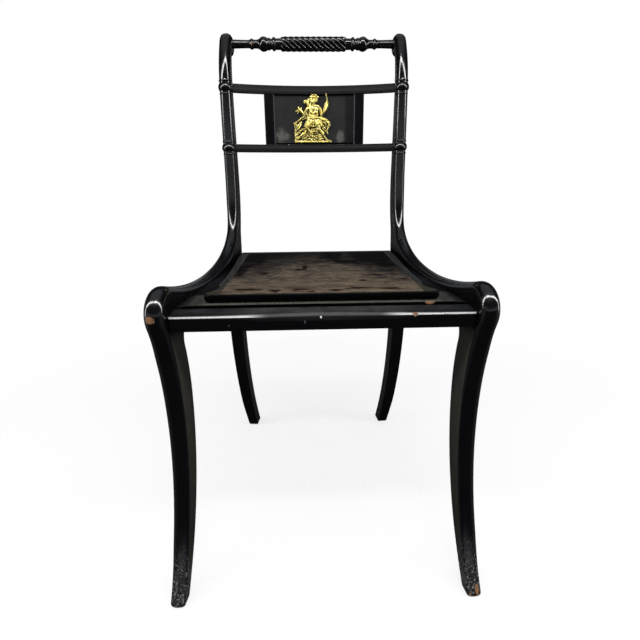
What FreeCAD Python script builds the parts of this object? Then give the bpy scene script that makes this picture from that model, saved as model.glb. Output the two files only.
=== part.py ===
# A black and gilt sabre-leg side chair with a turned rope-twist crest rail and a loose slip seat.
# Millimetres, +Z up, -Y the sitter's front, +X the sitter's left, origin on the floor under the middle.
import FreeCAD
import Part
import math
import os

V = FreeCAD.Vector
doc = FreeCAD.newDocument("sabre_leg_chair")

# ---------------------------------------------------------------- driving dimensions
SIZES = {
    # side frames: two sawn planks, closer together at the back than at the front
    "frame_half_spread": 189.9,   # middle plane of a side frame from the chair's centre, at mid-depth
    "frame_flare_deg": 6.0,
    "origin_setback": 25.35,      # middle of the overall depth, behind the middle of the seat
    "plank": 25.5,
    "stile_width": 20.6,
    "foot_width": 21.0,
    "crown_radius": 10.0,         # half-round worked on the show edge
    "leg_taper_drop": 30.0,       # from here below the saddle the planks keep their full thickness
    "stile_taper_lift": 8.0,      # up to here above it, and are thinned to the stile over the next length
    "stile_taper_length": 44.0,
    # front sabre leg
    "waist_front": 175.0,         # crest of the leg's waist, forward of the middle
    "waist_front_rise": 262.0,
    "leg_front_sweep": 470.0,
    "leg_front_sweep_high": 345.0,
    "waist_back": 132.7,
    "waist_back_rise": 295.0,
    "leg_back_sweep": 500.0,
    "leg_back_sweep_high": 285.0,
    "knee_radius": 36.0,
    "throat_radius": 25.0,
    # side rail
    "saddle_rise": 430.0,         # lowest point of the rail's top
    "saddle_sweep": 620.0,
    "side_rail_depth": 45.0,
    "knee_joint": 98.0,           # joint of leg and side rail, forward of the middle
    # back post
    "post_front": 175.0,
    "post_depth": 34.0,
    "rear_leg_sweep": 650.0,
    "rear_leg_rise": 340.0,       # height at which the rear leg stands upright
    "heel_setback": 46.0,         # back of the post at the heel, behind its front
    "heel_lift": 20.0,            # the heel's height above the saddle
    "stile_depth_low": 36.0,
    "stile_depth_high": 17.0,
    "head_back": 262.0,           # axis of the scrolled head and of the crest rail
    "head_rise": 818.5,
    "crest_lift": 2.3,            # axis of the crest rail above the head's centre
    "head_radius": 19.5,
    # collars carved on the stiles where the cross rails enter
    "collar_ball_radius": 12.4,
    "collar_ring_radius": 11.5,
    "collar_neck_radius": 10.6,
    "collar_ball_half": 9.0,
    "collar_groove": 1.4,
    "collar_ring_height": 3.0,
    "collar_setback": 10.0,       # collar's axis behind the stile's crest
    # joinery
    "tenon_length": 14.0,
    "tenon_thickness": 10.0,
    "tenon_shoulder": 4.0,
    "fit_gap": 0.2,
    "dowel_radius": 4.5,
    "dowel_length": 30.0,
    "dowel_drop": 27.0,           # the lower dowel below the saddle
    "dowel_spacing": 40.0,
    "tongue_length": 30.0,
    "tongue_height": 26.0,
    "tongue_thickness": 9.0,
    # cross rails and tablet, bowed backwards on one circle
    "bow_chord_half": 156.0,
    "bow_front_end": 229.5,       # front of the cross rails at the stiles
    "bow_depth": 27.5,
    "cross_rail_thickness": 12.0,
    "cross_rail_height": 14.5,
    "upper_rail_drop": 83.0,      # undersides of the two rails below the head's centre
    "lower_rail_drop": 191.5,
    "cross_tenon_setback": 1.5,
    "cross_tenon_thickness": 7.0,
    "muntin_inner": 77.5,
    "muntin_width": 17.0,
    "muntin_setback": 0.8,
    "stub_tenon": 6.0,
    "panel_thickness": 4.0,
    "panel_setback": 4.8,
    "panel_tongue": 4.0,
    # gilt mount
    "mount_left": 43.0,
    "mount_right": 33.0,
    "mount_clearance": 3.7,       # between the lower rail and the mount's foot
    "mount_height": 89.3,
    "mount_depth": 6.0,
    "mount_gap": 0.25,
    "pin_radius": 1.0,
    "pin_length": 5.0,
    # crest rail
    "crest_neck_radius": 7.2,
    "rope_half_length": 62.0,
    "rope_radius": 12.5,
    "rope_flute_depth": 2.1,
    "rope_core_inset": 1.0,
    "rope_strands": 11,
    "rope_lead": 118.0,           # length in which a strand goes round once
    # seat frame
    "front_rail_front": 192.5,
    "front_rail_back": 160.0,
    "front_rail_top_drop": 10.5,  # below the saddle
    "front_rail_height": 21.5,
    "front_rail_crossfall": 1.5,
    "rail_arris_radius": 3.0,
    "rear_rail_front": 179.0,
    "rear_rail_back": 205.0,
    "rear_rail_height": 37.0,
    "ledge_drop": 7.0,            # top of the ledge boards below the saddle
    "ledge_thickness": 11.0,
    "ledge_opening_half": 138.0,
    "front_ledge_back": 98.0,
    "ledge_reveal": 1.2,
    "block_leg": 40.0,
    "block_height": 22.0,
    "screw_radius": 2.0,
    "screw_head_radius": 4.0,
    "screw_head_height": 3.0,
    "screw_length": 29.0,
    "screw_inset": 12.5,
    # loose seat
    "seat_front_half": 160.0,     # half-width at the front corners
    "seat_shoulder_half": 148.0,  # half-width where the front piece meets the side strips
    "seat_waist_half": 146.5,
    "seat_back_half": 153.6,
    "seat_field_half": 137.5,
    "seat_front": 147.0,
    "seat_back": 213.5,
    "seat_thickness": 13.5,
    "seat_front_depth": 55.0,
    "seat_back_strip_depth": 16.0,
    "seat_corner_radius": 7.0,
    "seat_flare_radius": 60.0,
    "seat_nosing_radius": 6.0,
    "seat_tongue": 5.0,
    "seat_tongue_thickness": 4.0,
    "seat_rest_gap": 0.2,
    "batten_thickness": 11.0,
    "batten_width": 34.0,
    "batten_clearance": 3.0,
}

sheet = doc.addObject("Spreadsheet::Sheet", "dims")
for row, (alias, value) in enumerate(SIZES.items(), start=1):
    sheet.set(f"A{row}", alias)
    sheet.set(f"B{row}", str(value))
    sheet.setAlias(f"B{row}", alias)
doc.recompute()


def size(alias):
    return float(getattr(sheet, alias))


# Heights that follow the saddle, the lowest point of the side rails' tops, or the scrolled heads.
LEG_TAPER_TOP = size("saddle_rise") - size("leg_taper_drop")
STILE_TAPER_START = size("saddle_rise") + size("stile_taper_lift")
STILE_TAPER_END = STILE_TAPER_START + size("stile_taper_length")
HEEL_RISE = size("saddle_rise") + size("heel_lift")
DOWEL_LOW = size("saddle_rise") - size("dowel_drop")
DOWEL_LEVELS = (DOWEL_LOW, DOWEL_LOW + size("dowel_spacing"))
FRONT_RAIL_TOP = size("saddle_rise") - size("front_rail_top_drop")
FRONT_RAIL_BOTTOM = FRONT_RAIL_TOP - size("front_rail_height")
LEDGE_TOP = size("saddle_rise") - size("ledge_drop")
REAR_RAIL_BOTTOM = LEDGE_TOP - size("rear_rail_height")
UPPER_RAIL_RISE = size("head_rise") - size("upper_rail_drop")
LOWER_RAIL_RISE = size("head_rise") - size("lower_rail_drop")
MOUNT_BOTTOM = LOWER_RAIL_RISE + size("cross_rail_height") + size("mount_clearance")
MOUNT_TOP = MOUNT_BOTTOM + size("mount_height")
CREST_RISE = size("head_rise") + size("crest_lift")


# ---------------------------------------------------------------- document helpers
PARTS = []


def origin_plane(body, role):
    for feature in body.Origin.OriginFeatures:
        if feature.Role == role:
            return feature
    raise ValueError(role)


def new_body(label, placement=None):
    body = doc.addObject("PartDesign::Body", label)
    body.Label = label
    if placement is not None:
        body.Placement = placement
    return body


def sketch_on(body, role, name, curves, offset=0.0):
    sketch = body.newObject("Sketcher::SketchObject", name)
    sketch.AttachmentSupport = (origin_plane(body, role), [""])
    sketch.MapMode = "FlatFace"
    sketch.AttachmentOffset = FreeCAD.Placement(V(0, 0, offset), FreeCAD.Rotation())
    for curve in curves:
        sketch.addGeometry(curve, False)
    return sketch


def pad(body, sketch, name, length, midplane=False, backwards=False):
    """Pad a sketch; a length given as text is an expression on the sheet."""
    feature = body.newObject("PartDesign::Pad", name)
    feature.Profile = sketch
    if isinstance(length, str):
        feature.setExpression("Length", length)
    else:
        feature.Length = length
    feature.Midplane = midplane
    feature.Reversed = backwards
    return feature


def pocket(body, sketch, name, length=None, midplane=False, backwards=False):
    feature = body.newObject("PartDesign::Pocket", name)
    feature.Profile = sketch
    if length is None:
        feature.Type = "ThroughAll"
    elif isinstance(length, str):
        feature.setExpression("Length", length)
    else:
        feature.Length = length
    feature.Midplane = midplane
    feature.Reversed = backwards
    return feature


def box_cut(body, name, placement, length, width, height):
    """Square hole; the placement is the corner of the box in the body's own frame."""
    cut = body.newObject("PartDesign::SubtractiveBox", name)
    cut.Length = length
    cut.Width = width
    cut.Height = height
    cut.Placement = placement
    return cut


def round_cut(body, name, placement, radius, depth):
    cut = body.newObject("PartDesign::SubtractiveCylinder", name)
    cut.setExpression("Radius", radius)
    cut.Height = depth
    cut.Placement = placement
    return cut


def polygon(points):
    closed = list(points) + [points[0]]
    return [Part.LineSegment(a, b) for a, b in zip(closed, closed[1:])]


def rectangle(x0, y0, x1, y1):
    return polygon([V(x0, y0), V(x1, y0), V(x1, y1), V(x0, y1)])


# ---------------------------------------------------------------- plane geometry
def unit(angle_deg):
    angle = math.radians(angle_deg)
    return V(math.cos(angle), math.sin(angle), 0)


def angle_of(vector):
    return math.degrees(math.atan2(vector.y, vector.x))


def arc(centre, radius, start_deg, end_deg):
    """Arc from one polar angle to the other through the angle midway between them."""
    middle = (start_deg + end_deg) / 2
    points = [centre + unit(a) * radius for a in (start_deg, middle, end_deg)]
    return Part.Arc(*points)


def circles_meet(c1, r1, c2, r2, side):
    """Point where two circles cross, on the given side of the line from c1 to c2."""
    gap = (c2 - c1).Length
    along = (gap**2 + r1**2 - r2**2) / (2 * gap)
    across = math.sqrt(r1**2 - along**2)
    forward = (c2 - c1) / gap
    normal = V(-forward.y, forward.x, 0)
    return c1 + forward * along + normal * (across * side)


# ---------------------------------------------------------------- side frame, drawn in its own plane
# A sketch on the YZ plane has the depth as its x and the height as its y.
front_low = V(-size("waist_front") - size("leg_front_sweep"), size("waist_front_rise"))
front_high = V(-size("waist_front") - size("leg_front_sweep_high"), size("waist_front_rise"))
back_low = V(-size("waist_back") - size("leg_back_sweep"), size("waist_back_rise"))
back_high = V(-size("waist_back") - size("leg_back_sweep_high"), size("waist_back_rise"))
saddle = V(0, size("saddle_rise") + size("saddle_sweep"))
underside_radius = size("saddle_sweep") + size("side_rail_depth")
knee = circles_meet(front_high, size("leg_front_sweep_high") + size("knee_radius"),
                    saddle, size("saddle_sweep") + size("knee_radius"), -1)
throat = circles_meet(back_high, size("leg_back_sweep_high") + size("throat_radius"),
                      saddle, underside_radius + size("throat_radius"), -1)
joint_angle = -90 - math.degrees(math.asin(size("knee_joint") / size("saddle_sweep")))
joint_top = saddle + unit(joint_angle) * size("saddle_sweep")
joint_bottom = saddle + unit(joint_angle) * underside_radius

# Stations of the sweep from the side rail up the stile: setback from the post's front, and
# share of the height between the saddle and the head.
SWEEP = [(-100, 0.012), (-53, 0.035), (-17, 0.070), (8, 0.112), (27, 0.191), (37, 0.325),
         (41, 0.560), (44, 0.760), (52, 0.915)]
HEAD_MEETS_FRONT = 153.0
HEAD_MEETS_BACK = -128.0

head = V(size("head_back"), size("head_rise"))
sweep_height = size("head_rise") - size("saddle_rise")
sweep_points = [V(0, size("saddle_rise"))]
for setback, share in SWEEP:
    sweep_points.append(V(size("post_front") + setback, size("saddle_rise") + share * sweep_height))
sweep_points.append(head + unit(HEAD_MEETS_FRONT) * size("head_radius"))
head_tangent = V(math.sin(math.radians(HEAD_MEETS_FRONT)), -math.cos(math.radians(HEAD_MEETS_FRONT)))


def sweep_curve():
    curve = Part.BSplineCurve()
    curve.interpolate(Points=sweep_points, InitialTangent=V(1, 0), FinalTangent=head_tangent)
    return curve


def sweep_at_post():
    """Parameter and point where the sweep crosses the front plane of the back post."""
    curve = sweep_curve()
    upright = Part.LineSegment(V(size("post_front"), 0), V(size("post_front"), head.y))
    point = curve.intersectCC(upright)[0]
    point = V(point.X, point.Y, 0)
    return curve.parameter(point), point


def sweep_part(first=None, last=None):
    curve = sweep_curve()
    start = curve.FirstParameter if first is None else first
    end = curve.LastParameter if last is None else last
    curve.segment(start, end)
    return curve


joint_parameter, post_joint = sweep_at_post()


def stile_depth(height):
    """Depth of the stile behind its crest, tapering evenly from the seat to the head."""
    low = size("saddle_rise") + SWEEP[4][1] * sweep_height
    share = (height - low) / (size("head_rise") - low)
    return size("stile_depth_low") + share * (size("stile_depth_high") - size("stile_depth_low"))


def place_side(hand):
    """Frame of a side plank: +1 is the sitter's left, -1 the right."""
    turn = FreeCAD.Rotation(V(0, 0, 1), hand * size("frame_flare_deg"))
    return FreeCAD.Placement(V(hand * size("frame_half_spread"), 0, 0), turn)


def crown_edges(feature, curves):
    """Names of the edges on the plank's two faces that follow the given outline curves."""
    shapes = [curve.toShape() for curve in curves]
    names = []
    for number, edge in enumerate(feature.Shape.Edges, start=1):
        middle = edge.valueAt((edge.FirstParameter + edge.LastParameter) / 2)
        if abs(abs(middle.x) - size("plank") / 2) > 0.01:
            continue
        flat = Part.Vertex(V(middle.y, middle.z, 0))
        ends = [V(v.Point.y, v.Point.z, 0) for v in edge.Vertexes]
        for shape in shapes:
            near = [Part.Vertex(p).distToShape(shape)[0] < 0.01 for p in ends]
            if flat.distToShape(shape)[0] < 0.01 and all(near):
                names.append(f"Edge{number}")
                break
    return names


def add_head(body, label):
    """Scrolled head: a disc whose rim carries the same half-round as the crest."""
    half = size("plank") / 2
    rim = size("head_radius")
    corner = size("crown_radius")
    centres = [V(half - corner, rim - corner), V(corner - half, rim - corner)]
    outline = [
        Part.LineSegment(V(-half, 0), V(half, 0)),
        Part.LineSegment(V(half, 0), V(half, rim - corner)),
        arc(centres[0], corner, 0, 90),
        Part.LineSegment(V(half - corner, rim), V(corner - half, rim)),
        arc(centres[1], corner, 90, 180),
        Part.LineSegment(V(-half, rim - corner), V(-half, 0)),
    ]
    section = sketch_on(body, "XY_Plane", label + "_head_section", outline)
    section.AttachmentOffset = FreeCAD.Placement(V(0, head.x, head.y), FreeCAD.Rotation())
    scroll = body.newObject("PartDesign::Revolution", label + "_head")
    scroll.Profile = section
    scroll.ReferenceAxis = (section, ["H_Axis"])
    scroll.Angle = 360


def plank_piece(label, hand, outline, crest_curves, tapers, scrolled=False):
    """Sawn plank: outline padded to the plank's thickness, crest rounded, sides tapered."""
    body = new_body(label, place_side(hand))
    profile = sketch_on(body, "YZ_Plane", label + "_outline", outline)
    blank = pad(body, profile, label + "_blank", "dims.plank", midplane=True)
    doc.recompute()
    crown = body.newObject("PartDesign::Fillet", label + "_crown")
    crown.Base = (blank, crown_edges(blank, crest_curves))
    crown.setExpression("Radius", "dims.crown_radius")
    doc.recompute()
    if scrolled:
        add_head(body, label)
    for number, points in enumerate(tapers):
        for side in (1, -1):
            shape = polygon([V(side * p.x, p.y) for p in points])
            cheek = sketch_on(body, "XZ_Plane", f"{label}_taper_{number}_{side + 1}", shape)
            pocket(body, cheek, f"{label}_cheek_{number}_{side + 1}", midplane=True)
    return body


half_plank = size("plank") / 2
outside = size("plank")
leg_cheek = [V(size("foot_width") / 2, 0), V(half_plank, LEG_TAPER_TOP),
             V(outside, LEG_TAPER_TOP), V(outside, -1), V(size("foot_width") / 2, -1)]
stile_cheek = [V(half_plank, STILE_TAPER_START), V(size("stile_width") / 2, STILE_TAPER_END),
               V(size("stile_width") / 2, size("head_rise") + 2 * size("head_radius")),
               V(outside, size("head_rise") + 2 * size("head_radius")), V(outside, STILE_TAPER_START)]


def foot_angle(rise, sweep):
    return -math.degrees(math.asin(rise / sweep))


def build_front_leg(hand, label):
    foot_front = foot_angle(size("waist_front_rise"), size("leg_front_sweep"))
    foot_back = foot_angle(size("waist_back_rise"), size("leg_back_sweep"))
    knee_start = angle_of(front_high - knee) % 360
    knee_end = angle_of(saddle - knee)
    crest = [
        arc(front_low, size("leg_front_sweep"), foot_front, 0),
        arc(front_high, size("leg_front_sweep_high"), 0, angle_of(knee - front_high)),
        arc(knee, size("knee_radius"), knee_start, knee_end),
        arc(saddle, size("saddle_sweep"), angle_of(knee - saddle), joint_angle),
    ]
    inside = [
        Part.LineSegment(joint_top, joint_bottom),
        arc(saddle, underside_radius, joint_angle, angle_of(throat - saddle)),
        arc(throat, size("throat_radius"), angle_of(saddle - throat), angle_of(back_high - throat) % 360),
        arc(back_high, size("leg_back_sweep_high"), angle_of(throat - back_high), 0),
        arc(back_low, size("leg_back_sweep"), 0, foot_back),
        Part.LineSegment(back_low + unit(foot_back) * size("leg_back_sweep"),
                         front_low + unit(foot_front) * size("leg_front_sweep")),
    ]
    return plank_piece(label, hand, crest + inside, crest, [leg_cheek])


def build_side_rail(hand, label):
    crest = [
        arc(saddle, size("saddle_sweep"), joint_angle, -90),
        sweep_part(last=joint_parameter),
    ]
    underside_rise = saddle.y - underside_radius
    inside = [
        Part.LineSegment(post_joint, V(size("post_front"), underside_rise)),
        Part.LineSegment(V(size("post_front"), underside_rise), V(0, underside_rise)),
        arc(saddle, underside_radius, -90, joint_angle),
        Part.LineSegment(joint_bottom, joint_top),
    ]
    return plank_piece(label, hand, crest + inside, crest, [stile_cheek])


def build_post(hand, label):
    leg_front = V(size("post_front") + size("rear_leg_sweep"), size("rear_leg_rise"))
    leg_back = leg_front + V(size("post_depth"), 0)
    foot = 180 - foot_angle(size("rear_leg_rise"), size("rear_leg_sweep"))
    upright = leg_front + unit(180) * size("rear_leg_sweep")
    crest = [sweep_part(first=joint_parameter)]
    back_points = [head + unit(HEAD_MEETS_BACK) * size("head_radius")]
    for setback, share in reversed(SWEEP[4:]):
        height = size("saddle_rise") + share * sweep_height
        back_points.append(V(size("post_front") + setback + stile_depth(height), height))
    back_points.append(V(size("post_front") + size("heel_setback"), HEEL_RISE))
    back_points.append(leg_back + unit(180) * size("rear_leg_sweep"))
    back = Part.BSplineCurve()
    back.interpolate(Points=back_points, InitialTangent=V(-0.2, -1), FinalTangent=V(0, -1))
    inside = [
        Part.LineSegment(sweep_points[-1], head),
        Part.LineSegment(head, back_points[0]),
        back,
        arc(leg_back, size("rear_leg_sweep"), 180, foot),
        Part.LineSegment(leg_back + unit(foot) * size("rear_leg_sweep"),
                         leg_front + unit(foot) * size("rear_leg_sweep")),
        arc(leg_front, size("rear_leg_sweep"), foot, 180),
        Part.LineSegment(upright, post_joint),
    ]
    return plank_piece(label, hand, crest + inside, crest, [leg_cheek, stile_cheek], scrolled=True)


def inner_side_box(body, name, hand, thickness, depth, y_range, z_range):
    """Mortise sunk from the inner face of a side plank, in the plank's own frame."""
    clear = size("fit_gap")
    mouth = thickness / 2 + 4
    floor = thickness / 2 - depth - clear
    x_low = min(-hand * mouth, -hand * floor)
    corner = V(x_low, y_range[0] - clear, z_range[0] - clear)
    placement = FreeCAD.Placement(corner, FreeCAD.Rotation())
    box_cut(body, name, placement, mouth - floor,
            y_range[1] - y_range[0] + 2 * clear, z_range[1] - z_range[0] + 2 * clear)


def tongue_outline(grow=0.0):
    """Loose tongue across the joint of leg and side rail, square to the joint."""
    centre = (joint_top + joint_bottom) / 2
    along = unit(joint_angle + 90) * (size("tongue_length") / 2 + grow)
    across = unit(joint_angle) * (size("tongue_height") / 2 + grow)
    return polygon([centre - along - across, centre + along - across,
                    centre + along + across, centre - along + across])


def tongue_slot(body, label):
    slot = sketch_on(body, "YZ_Plane", label + "_slot", tongue_outline(size("fit_gap")))
    pocket(body, slot, label + "_slot_cut", "dims.tongue_thickness + 2 * dims.fit_gap", midplane=True)


def dowel_axis(height, grow=0.0):
    """Placement of a dowel across the joint of side rail and post, in the plank's frame."""
    start = V(0, size("post_front") - size("dowel_length") / 2 - grow, height)
    return FreeCAD.Placement(start, FreeCAD.Rotation(V(1, 0, 0), -90))


def dowel_holes(body, label):
    clear = size("fit_gap")
    for number, height in enumerate(DOWEL_LEVELS):
        round_cut(body, f"{label}_dowel_hole_{number}", dowel_axis(height, clear),
                  "dims.dowel_radius + dims.fit_gap", size("dowel_length") + 2 * clear)


def crest_setback(height):
    """Depth coordinate of the sweep at a height on the stile."""
    level = Part.LineSegment(V(size("post_front") - 20, height), V(size("head_back"), height))
    point = sweep_curve().intersectCC(level)[0]
    return point.X


def add_collar(body, label, height, hand):
    """Turned-looking collar carved round the front of the stile, flat where the rail enters."""
    ball = size("collar_ball_radius")
    half = size("collar_ball_half")
    neck = size("collar_neck_radius")
    ring = size("collar_ring_radius")
    waist = half + size("collar_groove")
    top = waist + size("collar_ring_height")
    bulge = Part.Arc(V(neck, -half), V(ball, 0), V(neck, half))
    steps = [V(neck, half), V(neck, waist), V(ring, waist), V(ring, top), V(0, top),
             V(0, -top), V(ring, -top), V(ring, -waist), V(neck, -waist), V(neck, -half)]
    lines = [Part.LineSegment(a, b) for a, b in zip(steps, steps[1:])]
    section = sketch_on(body, "YZ_Plane", label + "_section", [bulge] + lines)
    centre = V(crest_setback(height) + size("collar_setback"), height)
    section.AttachmentOffset = FreeCAD.Placement(centre, FreeCAD.Rotation())
    collar = body.newObject("PartDesign::Revolution", label)
    collar.Profile = section
    collar.ReferenceAxis = (section, ["V_Axis"])
    collar.Angle = 360
    face = size("stile_width") / 2
    corner = V(min(-hand * face, -hand * (face + 6)), centre.x - 20, height - top - 1)
    box_cut(body, label + "_flat", FreeCAD.Placement(corner, FreeCAD.Rotation()), 6, 60, 2 * top + 2)


side_frames = {}
for hand, side in ((1, "left"), (-1, "right")):
    leg = build_front_leg(hand, f"front_leg_{side}")
    rail = build_side_rail(hand, f"side_rail_{side}")
    post = build_post(hand, f"back_post_{side}")
    tongue_slot(leg, f"front_leg_{side}")
    tongue_slot(rail, f"side_rail_{side}")
    dowel_holes(rail, f"side_rail_{side}")
    dowel_holes(post, f"back_post_{side}")
    side_frames[hand] = (leg, rail, post)
    PARTS.extend([leg, rail, post])

    tongue = new_body(f"knee_tongue_{side}", place_side(hand))
    profile = sketch_on(tongue, "YZ_Plane", f"knee_tongue_{side}_outline", tongue_outline())
    pad(tongue, profile, f"knee_tongue_{side}_blank", "dims.tongue_thickness", midplane=True)
    PARTS.append(tongue)
doc.recompute()


# ---------------------------------------------------------------- cross rails and tablet
def on_side(hand, across, along):
    """Plan position of a point of a side plank's own frame."""
    point = place_side(hand).multVec(V(across, along, 0))
    return V(point.x, point.y, 0)


bow_radius = (size("bow_chord_half")**2 + size("bow_depth")**2) / (2 * size("bow_depth"))
bow_centre = V(0, size("bow_front_end") + size("bow_depth") - bow_radius)
stile_face = size("stile_width") / 2


def meets_side(hand, face, centre, radius):
    """Where a circle in plan crosses the inner face of a side plank, at its back."""
    start = on_side(hand, -hand * face, 0)
    along = on_side(hand, -hand * face, 1) - start
    offset = start - centre
    half = offset.dot(along)
    reach = -half + math.sqrt(half**2 - offset.dot(offset) + radius**2)
    return start + along * reach, reach


def cross_rail_outline():
    outer = bow_radius + size("cross_rail_thickness")
    ends = {}
    for hand in (1, -1):
        front, front_along = meets_side(hand, stile_face, bow_centre, bow_radius)
        back, _ = meets_side(hand, stile_face, bow_centre, outer)
        tenon_front = front_along + size("cross_tenon_setback")
        tenon_back = tenon_front + size("cross_tenon_thickness")
        tip = -hand * (stile_face - size("tenon_length"))
        ends[hand] = [front, on_side(hand, -hand * stile_face, tenon_front), on_side(hand, tip, tenon_front),
                      on_side(hand, tip, tenon_back), on_side(hand, -hand * stile_face, tenon_back), back]
    left = ends[1]
    right = ends[-1][::-1]
    front_arc = Part.Arc(right[-1], bow_centre + V(0, bow_radius), left[0])
    back_arc = Part.Arc(left[-1], bow_centre + V(0, outer), right[0])
    sides = [Part.LineSegment(a, b) for run in (left, right) for a, b in zip(run, run[1:])]
    return [front_arc, back_arc] + sides


_, rail_along = meets_side(1, stile_face, bow_centre, bow_radius)
cross_tenon = (rail_along + size("cross_tenon_setback"),
               rail_along + size("cross_tenon_setback") + size("cross_tenon_thickness"))
for name, low in (("upper", UPPER_RAIL_RISE), ("lower", LOWER_RAIL_RISE)):
    high = low + size("cross_rail_height")
    for hand, (_, _, post) in side_frames.items():
        add_collar(post, f"{post.Label}_{name}_collar", (low + high) / 2, hand)
        inner_side_box(post, f"{post.Label}_{name}_mortise", hand, size("stile_width"),
                       size("tenon_length"), cross_tenon, (low, high))


def band(inner, outer, from_x, to_x):
    """Ring sector about the bow's centre between two half-widths measured on the front face."""
    first = 90 - math.degrees(math.asin(to_x / bow_radius))
    last = 90 - math.degrees(math.asin(from_x / bow_radius))
    corners = [bow_centre + unit(a) * r for r, a in
               ((inner, first), (inner, last), (outer, last), (outer, first))]
    return [
        arc(bow_centre, inner, first, last),
        Part.LineSegment(corners[1], corners[2]),
        arc(bow_centre, outer, last, first),
        Part.LineSegment(corners[3], corners[0]),
    ]


def sector_pad(body, name, curves, bottom, top):
    profile = sketch_on(body, "XY_Plane", name + "_plan", curves, offset=bottom)
    return pad(body, profile, name, top - bottom)


def sector_cut(body, name, curves, bottom, top):
    profile = sketch_on(body, "XY_Plane", name + "_plan", curves, offset=top)
    return pocket(body, profile, name, top - bottom)


opening_low = LOWER_RAIL_RISE + size("cross_rail_height")
opening_high = UPPER_RAIL_RISE
panel_front = bow_radius + size("panel_setback")
panel_back = panel_front + size("panel_thickness")
tongue_reach = size("panel_tongue")
muntin_front = bow_radius + size("muntin_setback")
muntin_back = bow_radius + size("cross_rail_thickness") - size("muntin_setback")
muntin_outer = size("muntin_inner") + size("muntin_width")
stub_inset = size("muntin_width") / 4
gap = size("fit_gap")

panel = new_body("tablet_panel")
panel_half = size("muntin_inner") + tongue_reach
sector_pad(panel, "tablet_board", band(panel_front, panel_back, -panel_half, panel_half),
           opening_low - tongue_reach, opening_high + tongue_reach)
PARTS.append(panel)

for hand, side in ((1, "left"), (-1, "right")):
    muntin = new_body(f"muntin_{side}")
    span = sorted((hand * size("muntin_inner"), hand * muntin_outer))
    stub = (span[0] + stub_inset, span[1] - stub_inset)
    bar = band(muntin_front, muntin_back, *span)
    sector_pad(muntin, f"muntin_{side}_bar", bar, opening_low, opening_high)
    sector_pad(muntin, f"muntin_{side}_stub", band(panel_front, panel_back, *stub),
               opening_low - size("stub_tenon"), opening_high + size("stub_tenon"))
    groove = sorted((hand * (size("muntin_inner") - 4), hand * (panel_half + gap)))
    sector_cut(muntin, f"muntin_{side}_groove", band(panel_front - gap, panel_back + gap, *groove),
               opening_low - size("stub_tenon") - 1, opening_high + size("stub_tenon") + 1)
    PARTS.append(muntin)

for name, rise, face in (("upper", opening_high, 1), ("lower", LOWER_RAIL_RISE, -1)):
    rail = new_body(f"{name}_cross_rail")
    sector_pad(rail, f"{name}_rail_blank", cross_rail_outline(), rise, rise + size("cross_rail_height"))
    edge = opening_high if face == 1 else opening_low
    levels = sorted((edge - face * 1.0, edge + face * (tongue_reach + gap)))
    sector_cut(rail, f"{name}_rail_groove",
               band(panel_front - gap, panel_back + gap, -panel_half - gap, panel_half + gap), *levels)
    levels = sorted((edge - face * 1.0, edge + face * (size("stub_tenon") + gap)))
    for hand, side in ((1, "left"), (-1, "right")):
        stub_inner = size("muntin_inner") + stub_inset - gap
        span = sorted((hand * stub_inner, hand * (muntin_outer - stub_inset + gap)))
        mortise = band(panel_front - gap, panel_back + gap, *span)
        sector_cut(rail, f"{name}_rail_mortise_{side}", mortise, *levels)
    PARTS.append(rail)
doc.recompute()


# ---------------------------------------------------------------- gilt mount and its pins
# Outline of the seated figure with hound and bow on a rocky mound: share of the width, share of the height.
FIGURE = [(0.02, 0.00), (0.98, 0.00), (0.97, 0.07), (0.91, 0.10), (0.93, 0.22), (0.88, 0.36), (0.95, 0.47),
          (0.84, 0.55), (0.80, 0.66), (0.83, 0.97), (0.76, 0.98), (0.71, 0.74), (0.64, 0.72), (0.61, 0.80),
          (0.62, 0.93), (0.52, 1.00), (0.43, 0.93), (0.42, 0.83), (0.34, 0.86), (0.29, 0.80), (0.33, 0.70),
          (0.20, 0.76), (0.09, 0.68), (0.22, 0.60), (0.20, 0.47), (0.06, 0.42), (0.10, 0.24), (0.02, 0.08)]
mount_back = panel_front - size("mount_gap")
mount_front = mount_back - size("mount_depth")
mount_width = size("mount_left") + size("mount_right")
mount_height = size("mount_height")
mount = new_body("gilt_mount")
sector_pad(mount, "mount_plate", band(mount_front, mount_back, -size("mount_left"), size("mount_right")),
           MOUNT_BOTTOM, MOUNT_TOP)
figure = [V(-size("mount_left") + x * mount_width, MOUNT_BOTTOM + z * mount_height) for x, z in FIGURE]
frame_low = MOUNT_BOTTOM - 5
frame_high = MOUNT_TOP + 5
surround = rectangle(-size("mount_left") - 5, frame_low, size("mount_right") + 5, frame_high)
waste = sketch_on(mount, "XZ_Plane", "mount_waste", surround + polygon(figure))
pocket(mount, waste, "mount_fretting", midplane=True)
PARTS.append(mount)

PIN_PLACES = [(0.50, 0.88), (0.22, 0.06), (0.80, 0.06)]
pins = []
for number, (across, up) in enumerate(PIN_PLACES):
    x = -size("mount_left") + across * mount_width
    z = MOUNT_BOTTOM + up * mount_height
    outward = math.degrees(math.asin(x / bow_radius))
    turn = FreeCAD.Rotation(V(0, 0, 1), -outward)
    lead = FreeCAD.Rotation(V(1, 0, 0), -90)
    start = bow_centre + turn.multVec(V(0, mount_back - size("pin_length") / 2, 0)) + V(0, 0, z)
    place = FreeCAD.Placement(start, turn * lead)
    pin = doc.addObject("Part::Cylinder", f"mount_pin_{number}")
    pin.setExpression("Radius", "dims.pin_radius")
    pin.setExpression("Height", "dims.pin_length")
    pin.Placement = place
    pins.append(pin)
    for body in (mount, panel):
        hole = round_cut(body, f"{body.Label}_pin_hole_{number}", place, "dims.pin_radius + dims.fit_gap",
                         size("pin_length") + gap)
pin_group = doc.addObject("Part::Compound", "mount_pins")
pin_group.Label = "mount_pins"
pin_group.Links = pins
PARTS.append(pin_group)

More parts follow.
